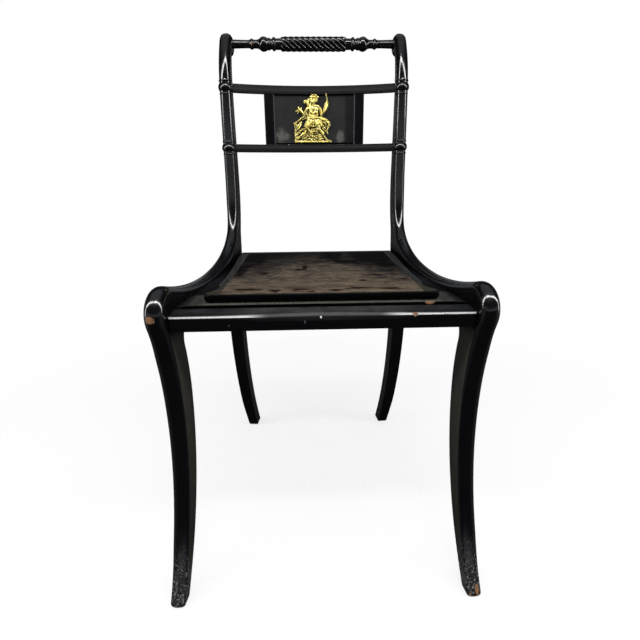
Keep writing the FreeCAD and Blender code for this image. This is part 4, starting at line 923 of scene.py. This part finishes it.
# Turned outline beyond the rope: distance from the middle, radius.
TURNED = [(60.0, 9.4), (63.6, 9.6), (66.5, 9.5), (69.5, 9.3), (71.6, 9.5), (72.4, 10.9), (73.8, 11.7),
          (75.6, 11.7), (77.0, 10.9), (77.8, 9.2), (79.6, 8.7), (81.6, 9.1), (82.6, 10.3), (84.4, 10.6),
          (85.8, 9.8), (86.9, 9.9), (88.6, 11.0), (91.0, 12.0), (94.6, 12.6), (97.4, 12.1), (100.0, 10.5),
          (102.4, 8.6), (105.0, 7.5), (109.0, 7.2), (113.4, 7.4), (114.6, 8.6), (116.6, 9.2), (118.6, 8.6),
          (119.8, 7.2), (123.0, 6.8), (134.0, 6.9), (148.0, 7.4), (CREST_END, 7.4)]


def crest_end(side):
    """Turned outline between the rope and a post, its corners smoothed."""
    profile = [(side * CORE_START, 0.0), (side * CORE_START, CORE_RADIUS)]
    profile += [(side * a, r) for a, r in TURNED]
    profile.append((side * CREST_END, 0.0))
    fine = []
    for (a0, r0), (a1, r1) in zip(profile, profile[1:]):
        fine += [(a0 + (a1 - a0) * t, r0 + (r1 - r0) * t) for t in np.linspace(0, 1, 4)[:-1]]
    fine.append(profile[-1])
    radii = np.array([r for _, r in fine])
    radii[7:-4] = (radii[6:-5] + 2 * radii[7:-4] + radii[8:-3]) / 4
    return lathe([(a, r) for (a, _), r in zip(fine, radii)], CREST, (1, 0, 0), 64)


def rope():
    """Rope twist of seven strands between the turned ends."""
    turns = np.linspace(0, 2 * pi, STRANDS * 22, endpoint=False)
    rings = []
    for x in np.linspace(-ROPE_HALF, ROPE_HALF, 240):
        to_end = ROPE_HALF - abs(x)
        swell = ROPE_RADIUS - 1.6 * exp(-to_end / 1.6) - (2.2 if to_end < 0.01 else 0.0)
        phase = turns * STRANDS - 2 * pi * STRANDS * x / LEAD
        ridge = np.abs(np.cos(phase / 2)) ** 0.75
        radius = swell - FLUTE * (1 - ridge) * min(1.0, 0.35 + to_end / 3.0)
        ring = [np.full(len(turns), x), radius * np.cos(turns), radius * np.sin(turns)]
        rings.append(np.stack(ring, 1) + CREST)
    return skin(rings)


new_piece("crest_rail", [crest_end(1), crest_end(-1), rope()], BLACK, "turned", crease=50)

# ---------------------------------------------------------------- cross rails and tablet
softened("upper_cross_rail", 1.2, CROSS_BLACK)
lower_rail = softened("lower_cross_rail", 1.2, LOWER_BLACK)
lower_rail.data.transform(Matrix.Translation((0, 0, LOWER_LIFT * MM)))

# ---------------------------------------------------------------- gilt mount
BOW_HALF, BOW_FRONT, BOW_DEPTH = 156.0, 229.5, 27.5
bow_radius = (BOW_HALF ** 2 + BOW_DEPTH ** 2) / (2 * BOW_DEPTH)
bow_centre_y = BOW_FRONT + BOW_DEPTH - bow_radius - SETBACK
MOUNT_BACK = bow_radius + 4.8 - 0.25
MUNTIN_NEAR, MUNTIN_FAR, MUNTIN_FRONT, MUNTIN_BACK = 77.7, 96.7, bow_radius + 1.3, bow_radius + 10.8
MUNTIN_LOW, MUNTIN_HIGH = 641.6 + LOWER_LIFT, 735.4


def build_muntin(hand, side):
    """Upright beside the tablet, with a small bead towards the panel, its polish dulled and the bead
    painted grey-blue as a painted highlight.
    """
    near, far, front, back = MUNTIN_NEAR, MUNTIN_FAR, MUNTIN_FRONT, MUNTIN_BACK
    outline = [(near, back), (near, front + 1.3)]
    outline += [(near + 1.2 - 1.2 * cos(t), front + 1.2 - 1.2 * sin(t))
                for t in np.linspace(0.2, 2.9, 8)]
    outline += [(near + 2.5, front + 1.6), (near + 3.1, front + 1.6), (near + 3.4, front + 0.25),
                (near + 4.0, front), (far - 0.9, front)]
    outline += [(far - 0.9 + 0.9 * sin(t), front + 0.9 - 0.9 * cos(t))
                for t in np.linspace(0.3, 1.5, 4)]
    outline += [(far, back - 0.3), (far - 0.3, back)]
    rings = []
    for z in np.linspace(MUNTIN_LOW, MUNTIN_HIGH, 9):
        rings.append([(hand * radius * sin(x / bow_radius),
                       bow_centre_y + radius * cos(x / bow_radius), z) for x, radius in outline])
    # the bead: duller polish and a painted highlight line
    bead_dull_and_sheen = np.array([0.0] + [1.0] * 9 + [0.0] * (len(outline) - 10))
    shell = (*skin(rings), np.tile(bead_dull_and_sheen, len(rings)))
    return new_piece(f"muntin_{side}", [shell], MUNTIN_BLACK)


build_muntin(1, "left")
build_muntin(-1, "right")

MOUNT_LEFT, MOUNT_LOW, MOUNT_WIDE, MOUNT_HIGH = -41.8, 647.6, 76.2, 89.6
UPPER_RAIL_LOW, RAIL_PROUD = 735.3, 5.1

ball_mesh = bmesh.new()
bmesh.ops.create_icosphere(ball_mesh, subdivisions=2, radius=1.0)
BALL_POINTS = np.array([v.co[:] for v in ball_mesh.verts])
BALL_FACES = [tuple(v.index for v in f.verts) for f in ball_mesh.faces]
ball_mesh.free()


VOXEL = 0.34
GROUND_THICK, RELIEF_THICK = 0.6, 7.4


class Relief:
    """A figure modelled from overlapping lumps on a flat ground, then fused. Places are hundredths of the
    ground's width and height; radii and heights above the ground are millimetres."""

    def __init__(self):
        self.lumps = []

    def at(self, u, w):
        return np.array([MOUNT_LEFT + u / 100 * MOUNT_WIDE, MOUNT_LOW + w / 100 * MOUNT_HIGH])

    def lump(self, u, w, out, along, across, thick, tilt=0.0):
        """Ellipsoid with half-sizes along its tilt (degrees from level), across it and outwards."""
        x, z = self.at(u, w)
        turn = radians(tilt)
        local = BALL_POINTS * [along, thick, across]
        wide = x + local[:, 0] * cos(turn) - local[:, 2] * sin(turn)
        high = z + local[:, 0] * sin(turn) + local[:, 2] * cos(turn)
        self.lumps.append(np.stack([wide, out + local[:, 1], high], 1))

    def limb(self, *stations):
        """Round-ended tapered limb through stations of (u, w, out, radius)."""
        stations = np.array(stations, float)
        for a, b in zip(stations, stations[1:]):
            pa, pb = self.at(*a[:2]), self.at(*b[:2])
            steps = max(2, int(np.linalg.norm(pb - pa) / (0.28 * min(a[3], b[3]))))
            for t in np.linspace(0, 1, steps + 1):
                u, w, out, radius = (1 - t) * a + t * b
                self.lump(u, w, out, radius, radius, radius)

    def draw(self, strokes):
        """Limbs and lumps written one to a line. A limb's stations are parted by commas."""
        for line in strokes.strip().replace(",\n", ",").splitlines():
            parts = [[float(v) for v in part.split()] for part in line.split(",")]
            if len(parts) > 1:
                self.limb(*parts)
            else:
                self.lump(*parts[0])

    def mesh(self, voxel):
        points = np.vstack(self.lumps)
        faces = [tuple(v + i * len(BALL_POINTS) for v in face)
                 for i in range(len(self.lumps)) for face in BALL_FACES]
        raw = bpy.data.meshes.new("relief_raw")
        raw.from_pydata(points.tolist(), [], faces)
        holder = add_object("relief_raw", raw)
        fuse = holder.modifiers.new("fuse", "REMESH")
        fuse.mode = "VOXEL"
        fuse.voxel_size = voxel
        smooth = holder.modifiers.new("smooth", "SMOOTH")
        smooth.factor = 0.5
        smooth.iterations = 1
        view = bpy.context.evaluated_depsgraph_get()
        fused = bpy.data.meshes.new_from_object(holder.evaluated_get(view))
        bpy.data.objects.remove(holder)
        bpy.data.meshes.remove(raw)
        return fused


def huntress():
    """Seated huntress on a rock with a hound, a quiver and a bow: a stock classical subject."""
    r = Relief()
    ground(r)
    skirt(r)
    legs(r)
    body(r)
    head(r)
    arms_and_gear(r)
    return r.mesh(VOXEL)


# Limits of a leaf's shift aside and up, its half-sizes and its tilt.
LEAF = ((-1.5, 1.5), (-1, 1), (2, 3.2), (0.8, 1.2), (1.4, 2.2), (-65, 65))
# Strokes of the figure, here and below. A limb's station is u, w, height above the ground and radius.
# A lump is u, w, height, half-sizes along, across and out of the ground, and tilt.
THICKET = """
5 6 1.8 1.3, 4.4 18 2.2 1.3, 4.6 30 2.2 1.1, 3.4 41 2.2 1
12 34 2.6 1.8, 17 40 2.8 2, 21 43 2.6 1.4
9 30 2.6 1.4, 8.5 36 2.8 1.4, 6 40 2.6 1.1
9 8 3 1.5, 15 13 3.6 1.8, 23 17 3.8 1.9, 29 20 3.6 1.6, 33 26 3.2 1.2
10 15 3 1.2, 11 20 3.2 1.2, 15 24 3.4 1.3, 20 26 3.4 1.2
22 8 3.2 1.1, 29 11 3.4 1.1, 35 15 3.2 1
"""


def ground(r):
    """Uneven ground, the rock she sits on and a thicket beside it."""
    chance = np.random.default_rng(7)
    for u in np.linspace(4.5, 98.5, 60):
        r.lump(u, 2.5 + 0.4 * sin(u * 0.9), 1.6, 1.5, 2.1, 2)
    for u in (5, 12, 19, 27, 35, 46, 58, 66, 75, 93):
        r.lump(u, 5.2, 2.6, 3.4, 1, 1.4, chance.uniform(-12, 12))
    # rock she sits on, with leaves scattered over it
    for w, low, high in ((8, 35, 76), (12, 35, 74), (16, 34, 72),
                         (20, 34, 70), (24, 35, 66), (28, 36, 64)):
        for u in np.linspace(low, high, 9):
            r.lump(u, w, 0.6, 3, 2.4, 1.4)
            if chance.random() < 0.75:
                aside, up, along, across, thick, tilt = (chance.uniform(*limits) for limits in LEAF)
                r.lump(u + aside, w + up, 2.6, along, across, thick, tilt)
    # thicket beside the rock
    for u, w, length, tilt in ((12, 12, 6, 50), (20, 13, 6, 40), (27, 15, 5.5, 30), (30, 22, 4, 60),
                               (15, 23, 5, 60), (24, 21, 4.6, 45), (8, 12, 4, 80), (9, 20, 4.4, 95)):
        r.lump(u, w, 1.6, length, 1.5, 1.7, tilt)
    r.draw(THICKET)
    for u, w, length, tilt in ((14.5, 31, 5.6, 64), (18.5, 36, 4.6, 72), (10.5, 29, 4.2, 44),
                               (23, 29, 4, 28), (7, 25, 3, 96), (27, 26, 3.4, -22), (31, 30, 3, 12),
                               (6.5, 16, 3, 70), (17, 20, 3, 150), (25, 13, 3.2, 35), (12, 9, 3, 15),
                               (32, 8, 3, -10)):
        r.lump(u, w, 3, length, 1.2, 1.5, tilt)
        r.lump(u + 1.2, w + 0.6, 3.9, length * 0.75, 0.45, 1, tilt)


def skirt(r):
    """Short pleated tunic over her lap."""
    for w, low, high in ((51, 39, 65), (47, 36, 67), (43, 33, 69), (39, 30, 72), (35, 28, 75)):
        for u in np.linspace(low + 3, high - 3, 7):
            r.lump(u, w, 2, 3.4, 2.8, 2.3)
    for i, share in enumerate(np.linspace(-1, 1, 15)):
        flick = 1.3 * cos(i * 2.4)
        r.limb((52 + share * 11.5, 51, 3.6, 0.8), (52 + share * 17, 43, 4.2, 0.95),
               (52 + share * 21.5, 36 + flick, 4, 1.05), (52 + share * 23, 32.5 + flick, 3.3, 0.95))
    for i, w in enumerate((46.5, 41.5, 36.8)):
        r.limb((40 - 3 * i, w, 3.8, 0.7), (52, w - 2.6, 5.2, 0.75), (64 + 3 * i, w, 3.8, 0.7))


BARE_LEGS = """
46 42 3.4 2.8, 39 36 4.2 2.9, 36 31 4 2.4
58 42 3.4 2.8, 64 36 4.3 3, 68 31 4 2.5
63 31 3.8 2.3, 71 25 3.8 2.2, 77 18 3.5 1.9, 82 12 3.2 1.5, 86 7.4 3 1.4
86 6.6 3 1.4, 91 5 3.4 1.2, 97 4.6 3.2 0.9
37 31 3.8 2, 42 24 3.8 1.8, 49 20 3.6 1.5
"""


def legs(r):
    """Bare legs with laced boots, one stretched forward."""
    r.draw(BARE_LEGS)
    for w, radius in ((29, 0.9), (26.2, 0.8), (23.4, 0.8)):
        r.limb((47, w, 4.2, radius), (54.5, w + 0.5, 4.7, radius), (62, w, 4.2, radius))


TRUNK = """
51.5 53 2.6 9.6 5 3.2
52 60 2.8 11.4 6.4 3.4
52 68 2.8 12.8 5.8 3.2
52.5 73 2.4 10.8 3.6 2.6
"""


def body(r):
    """Bodice with crossed folds and a girdle."""
    for w, low, high in ((54, 38, 65), (58, 37, 67), (62, 36, 68), (66, 36, 68), (70, 37, 67)):
        for u in np.linspace(low, high, 8):
            r.lump(u, w, 1.4, 2.6, 2.4, 1.9)
    r.draw(TRUNK)
    for side in (-1, 1):
        r.lump(52 + side * 6.6, 62.4, 4.9, 3.3, 3, 2.1)
        for k in range(4):
            r.limb((52 + side * (12 - k * 2.7), 74 - k * 0.3, 3.8, 0.75),
                   (52 + side * (8.6 - k * 1.6), 68.5 - k * 1.6, 5.7, 0.7),
                   (52 + side * 0.9, 63.5 - k * 2.4, 5.6, 0.6))
        for k in range(4):
            r.limb((52 + side * (2.2 + 2.8 * k), 58, 5.4, 0.7),
                   (52 + side * (1.8 + 2.4 * k), 54.5, 5.4, 0.6))
        r.limb((52 + side * 12.5, 66, 4.2, 1.1), (52 + side * 11.4, 59, 4.2, 1.1),
               (52 + side * 10.4, 53, 3.6, 0.9))
    for w in (50.2, 52):
        r.limb((40, w, 3.6, 0.9), (52, w - 1.2, 5.6, 0.95), (64, w, 3.6, 0.9))


def head(r):
    """Calm, regular face looking straight ahead, hair dressed in curls under a diadem."""
    u, w = 53.6, 84.6
    r.limb((52.6, 75, 2.8, 2.5), (52.8, 79.5, 3.4, 2.2))
    r.lump(u, w, 3.4, 4, 5, 3.1)
    r.lump(u, w - 3.4, 4.1, 2.4, 2.1, 1.9)
    r.lump(u, w + 2.4, 4.2, 3.4, 2, 2.1)
    r.limb((u, w + 1.4, 6.1, 0.45), (u, w - 1.2, 7, 0.62))
    for side in (-1, 1):
        r.lump(u + side * 2, w + 0.6, 5.8, 0.75, 0.42, 0.5)
        r.limb((u + side * 0.8, w + 1.8, 6.2, 0.36), (u + side * 3.2, w + 1.6, 5.7, 0.3))
        r.lump(u + side * 2.4, w - 1.6, 5.1, 1.2, 1.3, 0.9)
    r.lump(u, w - 2.65, 6.1, 1.05, 0.30, 0.5)
    r.lump(u, w - 3.25, 5.9, 0.85, 0.32, 0.5)
    r.lump(u, w - 4.8, 5.1, 1, 0.8, 0.8)
    for turn in np.linspace(-30, 210, 17):
        c, s = cos(radians(turn)), sin(radians(turn))
        r.lump(u + 6.2 * c, w + 1.6 + 4.8 * s, 3.7, 1.6, 1.4, 1.7)
        r.lump(u + 8.4 * c, w + 2.6 + 6.6 * s, 3, 1.8, 1.5, 1.7, turn)
    for lobe_u, lobe_w, size in ((46.5, 93.5, 2.4), (50.5, 96.6, 2.2), (55, 97.4, 2.1), (59.5, 96.2, 2.2),
                                 (64.2, 92.6, 2.6), (63.4, 88, 1.8), (44.2, 89, 1.8)):
        r.lump(lobe_u, lobe_w, 3.2, size, size * 0.8, 2)
    r.limb((46.4, 91, 5, 0.75), (53.8, 93.6, 6, 0.8), (61.4, 91, 5, 0.75))


QUIVER = """
46.6 81.5 2.6 1.5, 45.2 78 2.4 1.6, 44 74.5 2.4 1.6
42 74 3 2.6, 37 79.5 3.2 2.7, 32.2 84 3.4 3.2
"""
QUIVER_BANDS = """
41 77 2.8 2, 39 83 2.8 2.2, 40 88 2.6 1.8
35.6 86 5.4 0.7, 29.6 80.6 5.4 0.7
40.6 79.4 5 0.7, 36.6 75.4 5 0.7
"""
LEFT_ARM = """
38 71 3.4 2.9, 32 63 3.8 2.9, 29 56 3.8 2.4
33 60 3.4 2.6, 31 55 3.4 2.2, 22 51 3.4 1.8, 13 45 3 1.5, 4 41 2.8 1.2
2.4 40.6 2.8 1.9 1.3 1.2 30
38 52 2.8 1.1, 32 50.5 2.8 0.9, 23 47.4 2.6 0.75
"""
HOUND = """
30 57 3.2 2.8, 24.5 61 3.4 2.6, 19.5 66 3.6 2.8
16.5 67.2 3.8 3.8 2.8 2.5 20
14 66.4 3.8 1.9, 8.6 64.6 3.6 1.4, 6.4 63.8 3.4 1
15 63.8 3.4 1.4, 12 60.6 3.4 1.1
15.6 69 3.6 1.6, 14.6 73.4 3.4 0.8
20 69 3.4 1.6, 21 71.4 3.2 0.9
13.2 68 5.8 0.7 0.6 0.6
"""
RIGHT_ARM_AND_BOW = """
58 76.5 3 2.2, 65 74 3.2 2.8, 70.5 68.5 3.6 2.9, 73 60 3.6 2.4, 73.5 55 3.4 2
72 59.5 3.6 2, 76.5 60.5 3.6 1.8, 79 63 3.8 1.8
75 58.5 2.8 1.5, 80 62 3 1.6, 85 67 3.2 1.8, 88.4 74 3.2 1.8, 89 81 3 1.6, 88 88 3.4 1.2, 86.4 94 4.6 1,
85.6 99 5.6 0.8
78 62 2.6 1.2, 81.2 72 2.6 1.3, 83.6 80 2.6 1.2
80 64 2.2 1.3, 84 70 2.2 1.5, 86 76 2.2 1.5, 86.5 83 2.2 1.2
"""
CLOAK = """
66 52 2.8 2.2, 74 50.5 3.2 2.6, 84 47.5 3.4 2.8, 91.5 42 3.4 2.8, 94 36.5 3.2 2.6, 91 30.5 3 2.1,
87.6 26 2.8 1.5, 88.4 21.5 2.8 1.3, 90.5 18.4 2.6 1
72 46 2.2 2.4, 80 43 2.4 2.8, 85 38.5 2.4 2.4, 86 34 2.2 1.6
70 27 2 1.6, 76 24 2 1.4, 80 20 2 1.2
76 30 2 1.2, 80 27 2 1.2, 84 24 2 1
72 49.5 5.4 0.7, 83 46.5 5.8 0.75, 90.5 40.5 5.8 0.7, 91.5 33 5 0.6
78 51.4 5.2 0.6, 88 47.5 5.4 0.65, 95.4 40 4.8 0.6
68 47 2.4 1.3, 74 39 2.4 1.3, 80 32.5 2.6 1.4, 83 29.5 2.6 1.2
"""


def arms_and_gear(r):
    """Arms, quiver, hound's head, bow and cloak."""
    r.draw(QUIVER)
    for du, dw in ((-3.6, 0.6), (-2.4, 2.2), (0.2, 2.6), (2, 2), (-3.6, -2.6)):
        r.limb((32.2, 84, 3.8, 1.3), (32.2 + du, 84 + dw, 3.6, 1.2))
    r.draw(QUIVER_BANDS)
    r.draw(LEFT_ARM)
    for k in range(5):
        r.limb((37 - 2.4 * k, 69 - 2.2 * k, 6, 0.7), (33.5 - 2.2 * k, 66 - 2.4 * k, 6, 0.65))
    r.draw(HOUND)
    r.draw(RIGHT_ARM_AND_BOW)
    for k in range(4):
        r.lump(77 + 0.9 * k, 61.5 + k, 5.4, 1, 0.7, 0.8, 30)
    r.draw(CLOAK)


# Hollows pressed into the figure: place and half-size in hundredths of the ground, depth in millimetres.
HOLLOWS = [
    (48.2, 57.6, 3.6, 1.6, 2), (57, 57.6, 3.6, 1.6, 2), (52.5, 64, 1.5, 4, 1.5),
    (39.6, 62.5, 1.5, 6.5, 2.6), (66.2, 62, 1.5, 6.5, 2.6), (60.4, 78, 2.2, 1.8, 1.2),
    (45, 49, 3.6, 1.1, 1.6), (59.5, 49, 3.6, 1.1, 1.6), (42.5, 38, 1.3, 6, 1.9),
    (48.5, 36.5, 1.2, 6, 1.9), (55, 37.5, 1.3, 6.5, 2), (61.5, 38, 1.2, 6, 1.8),
    (52, 30.6, 10, 1.2, 2.2), (38, 45.5, 1.3, 3.5, 1.6), (66.5, 45, 1.3, 3.5, 1.6),
    (56, 17, 3, 1.6, 1.8), (45, 12, 3, 1.4, 1.8), (64, 11, 3, 1.4, 1.8), (33, 20, 1.4, 3, 1.8),
    (77, 44.5, 5, 1.2, 2), (68, 56.5, 2, 2, 1.8), (71.5, 20.5, 1.6, 3.6, 1.8), (25, 24.5, 3, 1.4, 2),
]


def place_mount(mesh):
    """Lays the flat relief on the tablet's bow, its back just clear of the panel."""
    count = len(mesh.vertices)
    flat = np.zeros(count * 3)
    mesh.vertices.foreach_get("co", flat)
    flat = flat.reshape(-1, 3)
    out = np.clip(flat[:, 1], 0, RELIEF_THICK)
    x = np.clip(flat[:, 0], MOUNT_LEFT, MOUNT_LEFT + MOUNT_WIDE)
    z = np.clip(flat[:, 2], MOUNT_LOW, MOUNT_LOW + MOUNT_HIGH)
    for u, w, wide, high, deep in HOLLOWS:
        aside = (x - MOUNT_LEFT - u / 100 * MOUNT_WIDE) / (wide / 100 * MOUNT_WIDE)
        up = (z - MOUNT_LOW - w / 100 * MOUNT_HIGH) / (high / 100 * MOUNT_HIGH)
        pressed = np.maximum(out - deep * np.exp(-aside ** 2 - up ** 2), GROUND_THICK)
        out = np.where(out > GROUND_THICK, pressed, out)
    out = np.where(z > UPPER_RAIL_LOW, np.maximum(out, RAIL_PROUD), out)
    radius = MOUNT_BACK - out
    lean = x / bow_radius
    placed = np.stack([radius * np.sin(lean), bow_centre_y + radius * np.cos(lean), z], 1) * MM
    mesh.vertices.foreach_set("co", placed.ravel())
    mesh.update()


relief = huntress()
place_mount(relief)
dress(relief, "gilt_mount_relief", GILT, "gilt_mount", crease=60)

# ---------------------------------------------------------------- seat frame and loose seat
RAIL_FRONT, RAIL_BACK, RAIL_BOTTOM, RAIL_TOP = -217.8, -185.6, 398.0, 420.9
RAIL_SHOULDER, RAIL_END = 196.6, 209.8
FRONT_DROP, SAG = 2.6, 1.3


def rail_section(inset, sag):
    """Front rail's section, its arrises rounded: a broad one in front, smaller ones elsewhere.
    The front arris is rubbed rounder where it sags."""
    front, back = RAIL_FRONT + inset, RAIL_BACK - 0.3 * inset
    low, high = RAIL_BOTTOM + 0.4 * inset, RAIL_TOP - 0.4 * inset
    corners = [((front, low), 2.0, 180, 270), ((back, low), 1.0, 270, 360), ((back, high), 3.2, 0, 85),
               ((front, high - FRONT_DROP - sag), 2.9 + 2.6 * sag, 95, 180)]
    points = []
    for (y, z), radius, start, end in corners:
        centre_y = y + radius if y == front else y - radius
        centre_z = z + radius if z == low else z - radius
        for turn in np.radians(np.linspace(start, end, 7)):
            points.append((centre_y + radius * cos(turn), centre_z + radius * sin(turn)))
    return points


def build_front_rail():
    """Front seat rail, its shoulders rounded in before the tenons."""
    stations = [(RAIL_END, 5.0), (RAIL_SHOULDER + 0.2, 5.0), (RAIL_SHOULDER, 3.2)]
    for turn in np.linspace(0.15, pi / 2, 7):
        stations.append((RAIL_SHOULDER - 3.0 * (1 - cos(turn)), 3.0 * (1 - sin(turn))))
    half = stations + [(x, 0.0) for x in np.linspace(186.0, 8.0, 22)]
    rings = []
    for x, inset in [(-x, e) for x, e in half] + half[::-1]:
        sag = SAG * exp(-(x / 90.0) ** 2)
        rings.append([(x, y, z) for y, z in rail_section(inset, sag)])
    return new_piece("front_rail", [skin(rings)], RAIL_BLACK)


def build_front_ledge():
    """Board behind the front rail, rebated along its front so that a dark slot runs between the two."""
    front, back, low, high, half = -180.2, -123.5, 412.0, 423.0, 193.6
    lip, lip_top = -184.9, 417.6
    rings = []
    for x in np.linspace(-half, half, 24):
        end = 0.8 if abs(x) > half - 0.1 else 0.0
        front_edge = front + end + 0.2 * sin(x * 0.03) + 0.1 * sin(x * 0.11)
        top = high - end
        soft = [(lip + end, low + end), (back - end, low + end), (back - end, top - 0.5),
                (back - end - 0.5, top), (front_edge + 1.6, top), (front_edge + 0.5, top - 0.5),
                (front_edge, top - 1.6), (front_edge, lip_top - end), (lip + end, lip_top - end - 0.2)]
        rings.append([(x, y, z) for y, z in soft])
    return new_piece("ledge_front", [skin(rings)], WORN_BLACK)


build_front_rail()
build_front_ledge()
for node in "rear_rail", "ledge_left", "ledge_right":
    softened(node, 0.8, DULL_BLACK)
for node in "seat_clamp_left", "seat_clamp_right", "seat_back_strip":
    softened(node, 0.9, CLAMP_BLACK, body="seat")
softened("seat_board", 0.7, SEAT_WOOD, body="seat")

# CAD nodes shown as they are.
bare = [f"corner_block_{end}_{side}" for end in ("front", "rear") for side in ("left", "right")]
bare += [f"{kind}_{side}" for kind in ("knee_tongue", "rail_dowels") for side in ("left", "right")]
bare += ["seat_batten_front", "seat_batten_rear"]
carried = {name: BEECH for name in bare}
carried.update(tablet_panel=PANEL_BLACK, seat_front_piece=SEAT_WOOD, mount_pins=GILT, block_screws=IRON)
for node, material in carried.items():
    cover(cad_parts[node].data, material)


# ---------------------------------------------------------------- floor, light and camera
FLOOR_HALF, FLOOR_CLEAR = 6.0, 0.74


def build_floor():
    """Pale ground that keeps the chair's soft shadow and clears into the backdrop. It is dark to mirrored
    rays, because the lacquer stood over a dark ground."""
    mesh = bpy.data.meshes.new("floor")
    corners = [(x * FLOOR_HALF, y * FLOOR_HALF, 0) for x, y in ((-1, -1), (1, -1), (1, 1), (-1, 1))]
    mesh.from_pydata(corners, [], [(0, 1, 2, 3)])
    floor = add_object("floor", mesh)
    p = Paint("pale_floor")
    colour = p.mix(p.noise(30.0, 4.0, 0.5), (0.93, 0.93, 0.93), (0.96, 0.96, 0.96))
    mirrored = p.node("LightPath", output=3)
    colour = p.mix(mirrored, colour, (0.025, 0.026, 0.028))
    p.set(Base_Color=colour, Roughness=0.85, Specular_IOR_Level=0.1)
    away = p.node("VectorMath", {0: p.place}, output=1, operation="LENGTH")
    clear = p.node("BsdfTransparent")
    share = p.span(away, 0.3, 1.3, FLOOR_CLEAR, 1.0)
    p.feed(p.output.inputs[0], p.node("MixShader", {0: share, 1: p.shader.outputs[0], 2: clear}))
    mesh.materials.append(p.material)
    floor.location.z = -0.0005


def mirrored_room(t):
    """Brightness of what polish mirrors: a dim room with a paler band at eye level in front."""
    towards = t.node("TexCoord", output="Generated")
    x, y, z = t.add("SeparateXYZ", {0: towards}).outputs
    band = t.times(t.span(z, 0.32, 0.08, 0.10, 1.0), t.span(z, 0.0, 0.13, 0.03, 1.0))
    around = t.plus(t.span(y, 0.1, -0.7, 0.10, 0.42), t.span(y, 0.3, 0.95, 0.0, 0.14))
    above = t.span(z, 0.62, 0.92, 0.0, 0.34)
    sides = t.times(t.span(t.math("ABSOLUTE", x), 0.60, 0.97, 0.0, 0.13), t.span(z, 0.45, 0.0))
    return t.plus(t.plus(t.times(band, around), above), sides)


def build_world():
    """White where the camera looks, dim where polish mirrors, and an even fill for the rest."""
    world = bpy.data.worlds.new("studio")
    bpy.context.scene.world = world
    world.use_nodes = True
    t = Tree(world.node_tree)
    rays = t.add("LightPath").outputs
    seen = t.plus(rays["Is Camera Ray"], rays["Is Transmission Ray"])
    backdrop = t.node("Background", {0: (1, 1, 1, 1), 1: 1.0})
    mirrored = t.node("Background", {0: (0.90, 0.94, 1.0, 1), 1: mirrored_room(t)})
    fill = t.node("Background", {0: (0.96, 0.98, 1.0, 1), 1: 0.42})
    soft = t.node("MixShader", {0: rays["Is Glossy Ray"], 1: fill, 2: mirrored})
    t.add("OutputWorld", {0: t.node("MixShader", {0: seen, 1: soft, 2: backdrop})})


def lamp(name, matrix, size, power, mirrored=True):
    data = bpy.data.lights.new(name, "AREA")
    data.shape = "RECTANGLE"
    data.size, data.size_y = size
    data.energy = power
    made = add_object(name, data)
    made.visible_glossy = mirrored
    made.matrix_world = matrix


def soft_light(name, place, aim, size, power):
    """Broad lamp that polish doesn't mirror."""
    turn = (Vector(aim) - Vector(place)).to_track_quat("-Z", "Y").to_matrix().to_4x4()
    lamp(name, Matrix.Translation(place) @ turn, size, power, mirrored=False)


def strip_light(name, start, end, width, power, aim=(0.0, 0.0, 0.6)):
    """Long narrow lamp between two points, facing the chair."""
    start, end = Vector(start), Vector(end)
    middle = (start + end) / 2
    along = (end - start).normalized()
    back = middle - Vector(aim)
    back = (back - back.dot(along) * along).normalized()
    turn = Matrix((along.cross(back), along, back)).transposed().to_4x4()
    lamp(name, Matrix.Translation(middle) @ turn, (width, (end - start).length), power)


# The camera: place in millimetres, turns in radians, and its focal length, principal point and picture
# size in pixels.
CAMERA_PLACE = (-19.95, -774.27, 581.93)
PITCH, YAW, ROLL = 0.34008, -0.03402, -0.00842
FOCAL = 458.65
PRINCIPAL = (323.42, 339.69)
FRAME_SIZE = 640


def build_camera():
    """Camera near the chair and a little above, as fitted to its feet, knees, seat and crest rail."""
    data = bpy.data.cameras.new("camera")
    camera = add_object("camera", data)
    forward = Vector((-sin(YAW) * cos(PITCH), cos(YAW) * cos(PITCH), -sin(PITCH)))
    right = Vector((cos(YAW), sin(YAW), 0))
    up = right.cross(forward)
    rolled_right = cos(ROLL) * right + sin(ROLL) * up
    rolled_up = cos(ROLL) * up - sin(ROLL) * right
    turn = Matrix((rolled_right, rolled_up, -forward)).transposed().to_4x4()
    camera.matrix_world = Matrix.Translation(Vector(CAMERA_PLACE) * MM) @ turn
    data.sensor_width = 36.0
    data.lens = FOCAL / FRAME_SIZE * data.sensor_width
    data.shift_x = (FRAME_SIZE / 2 - PRINCIPAL[0]) / FRAME_SIZE
    data.shift_y = (PRINCIPAL[1] - FRAME_SIZE / 2) / FRAME_SIZE
    data.clip_start = 0.02
    bpy.context.scene.camera = camera


build_floor()
build_world()
strip_light("top_strip", (-0.34, -0.98, 2.0), (0.34, -0.98, 2.0), 0.22, 10)
for side, x in (("left", -1), ("right", 1)):
    strip_light(side + "_slope", (x * 1.30, -0.36, 0.90), (x * 0.36, -0.98, 2.0), 0.15, 11)
    strip_light(side + "_strip", (x * 1.60, -0.15, 0.25), (x * 1.40, -0.30, 0.95), 0.13, 2.4)
soft_light("front_soft", (0.5, -2.3, 1.9), (0.0, 0.0, 0.4), (0.8, 0.4), 11)
build_camera()
bpy.context.scene.view_settings.view_transform = "Standard"
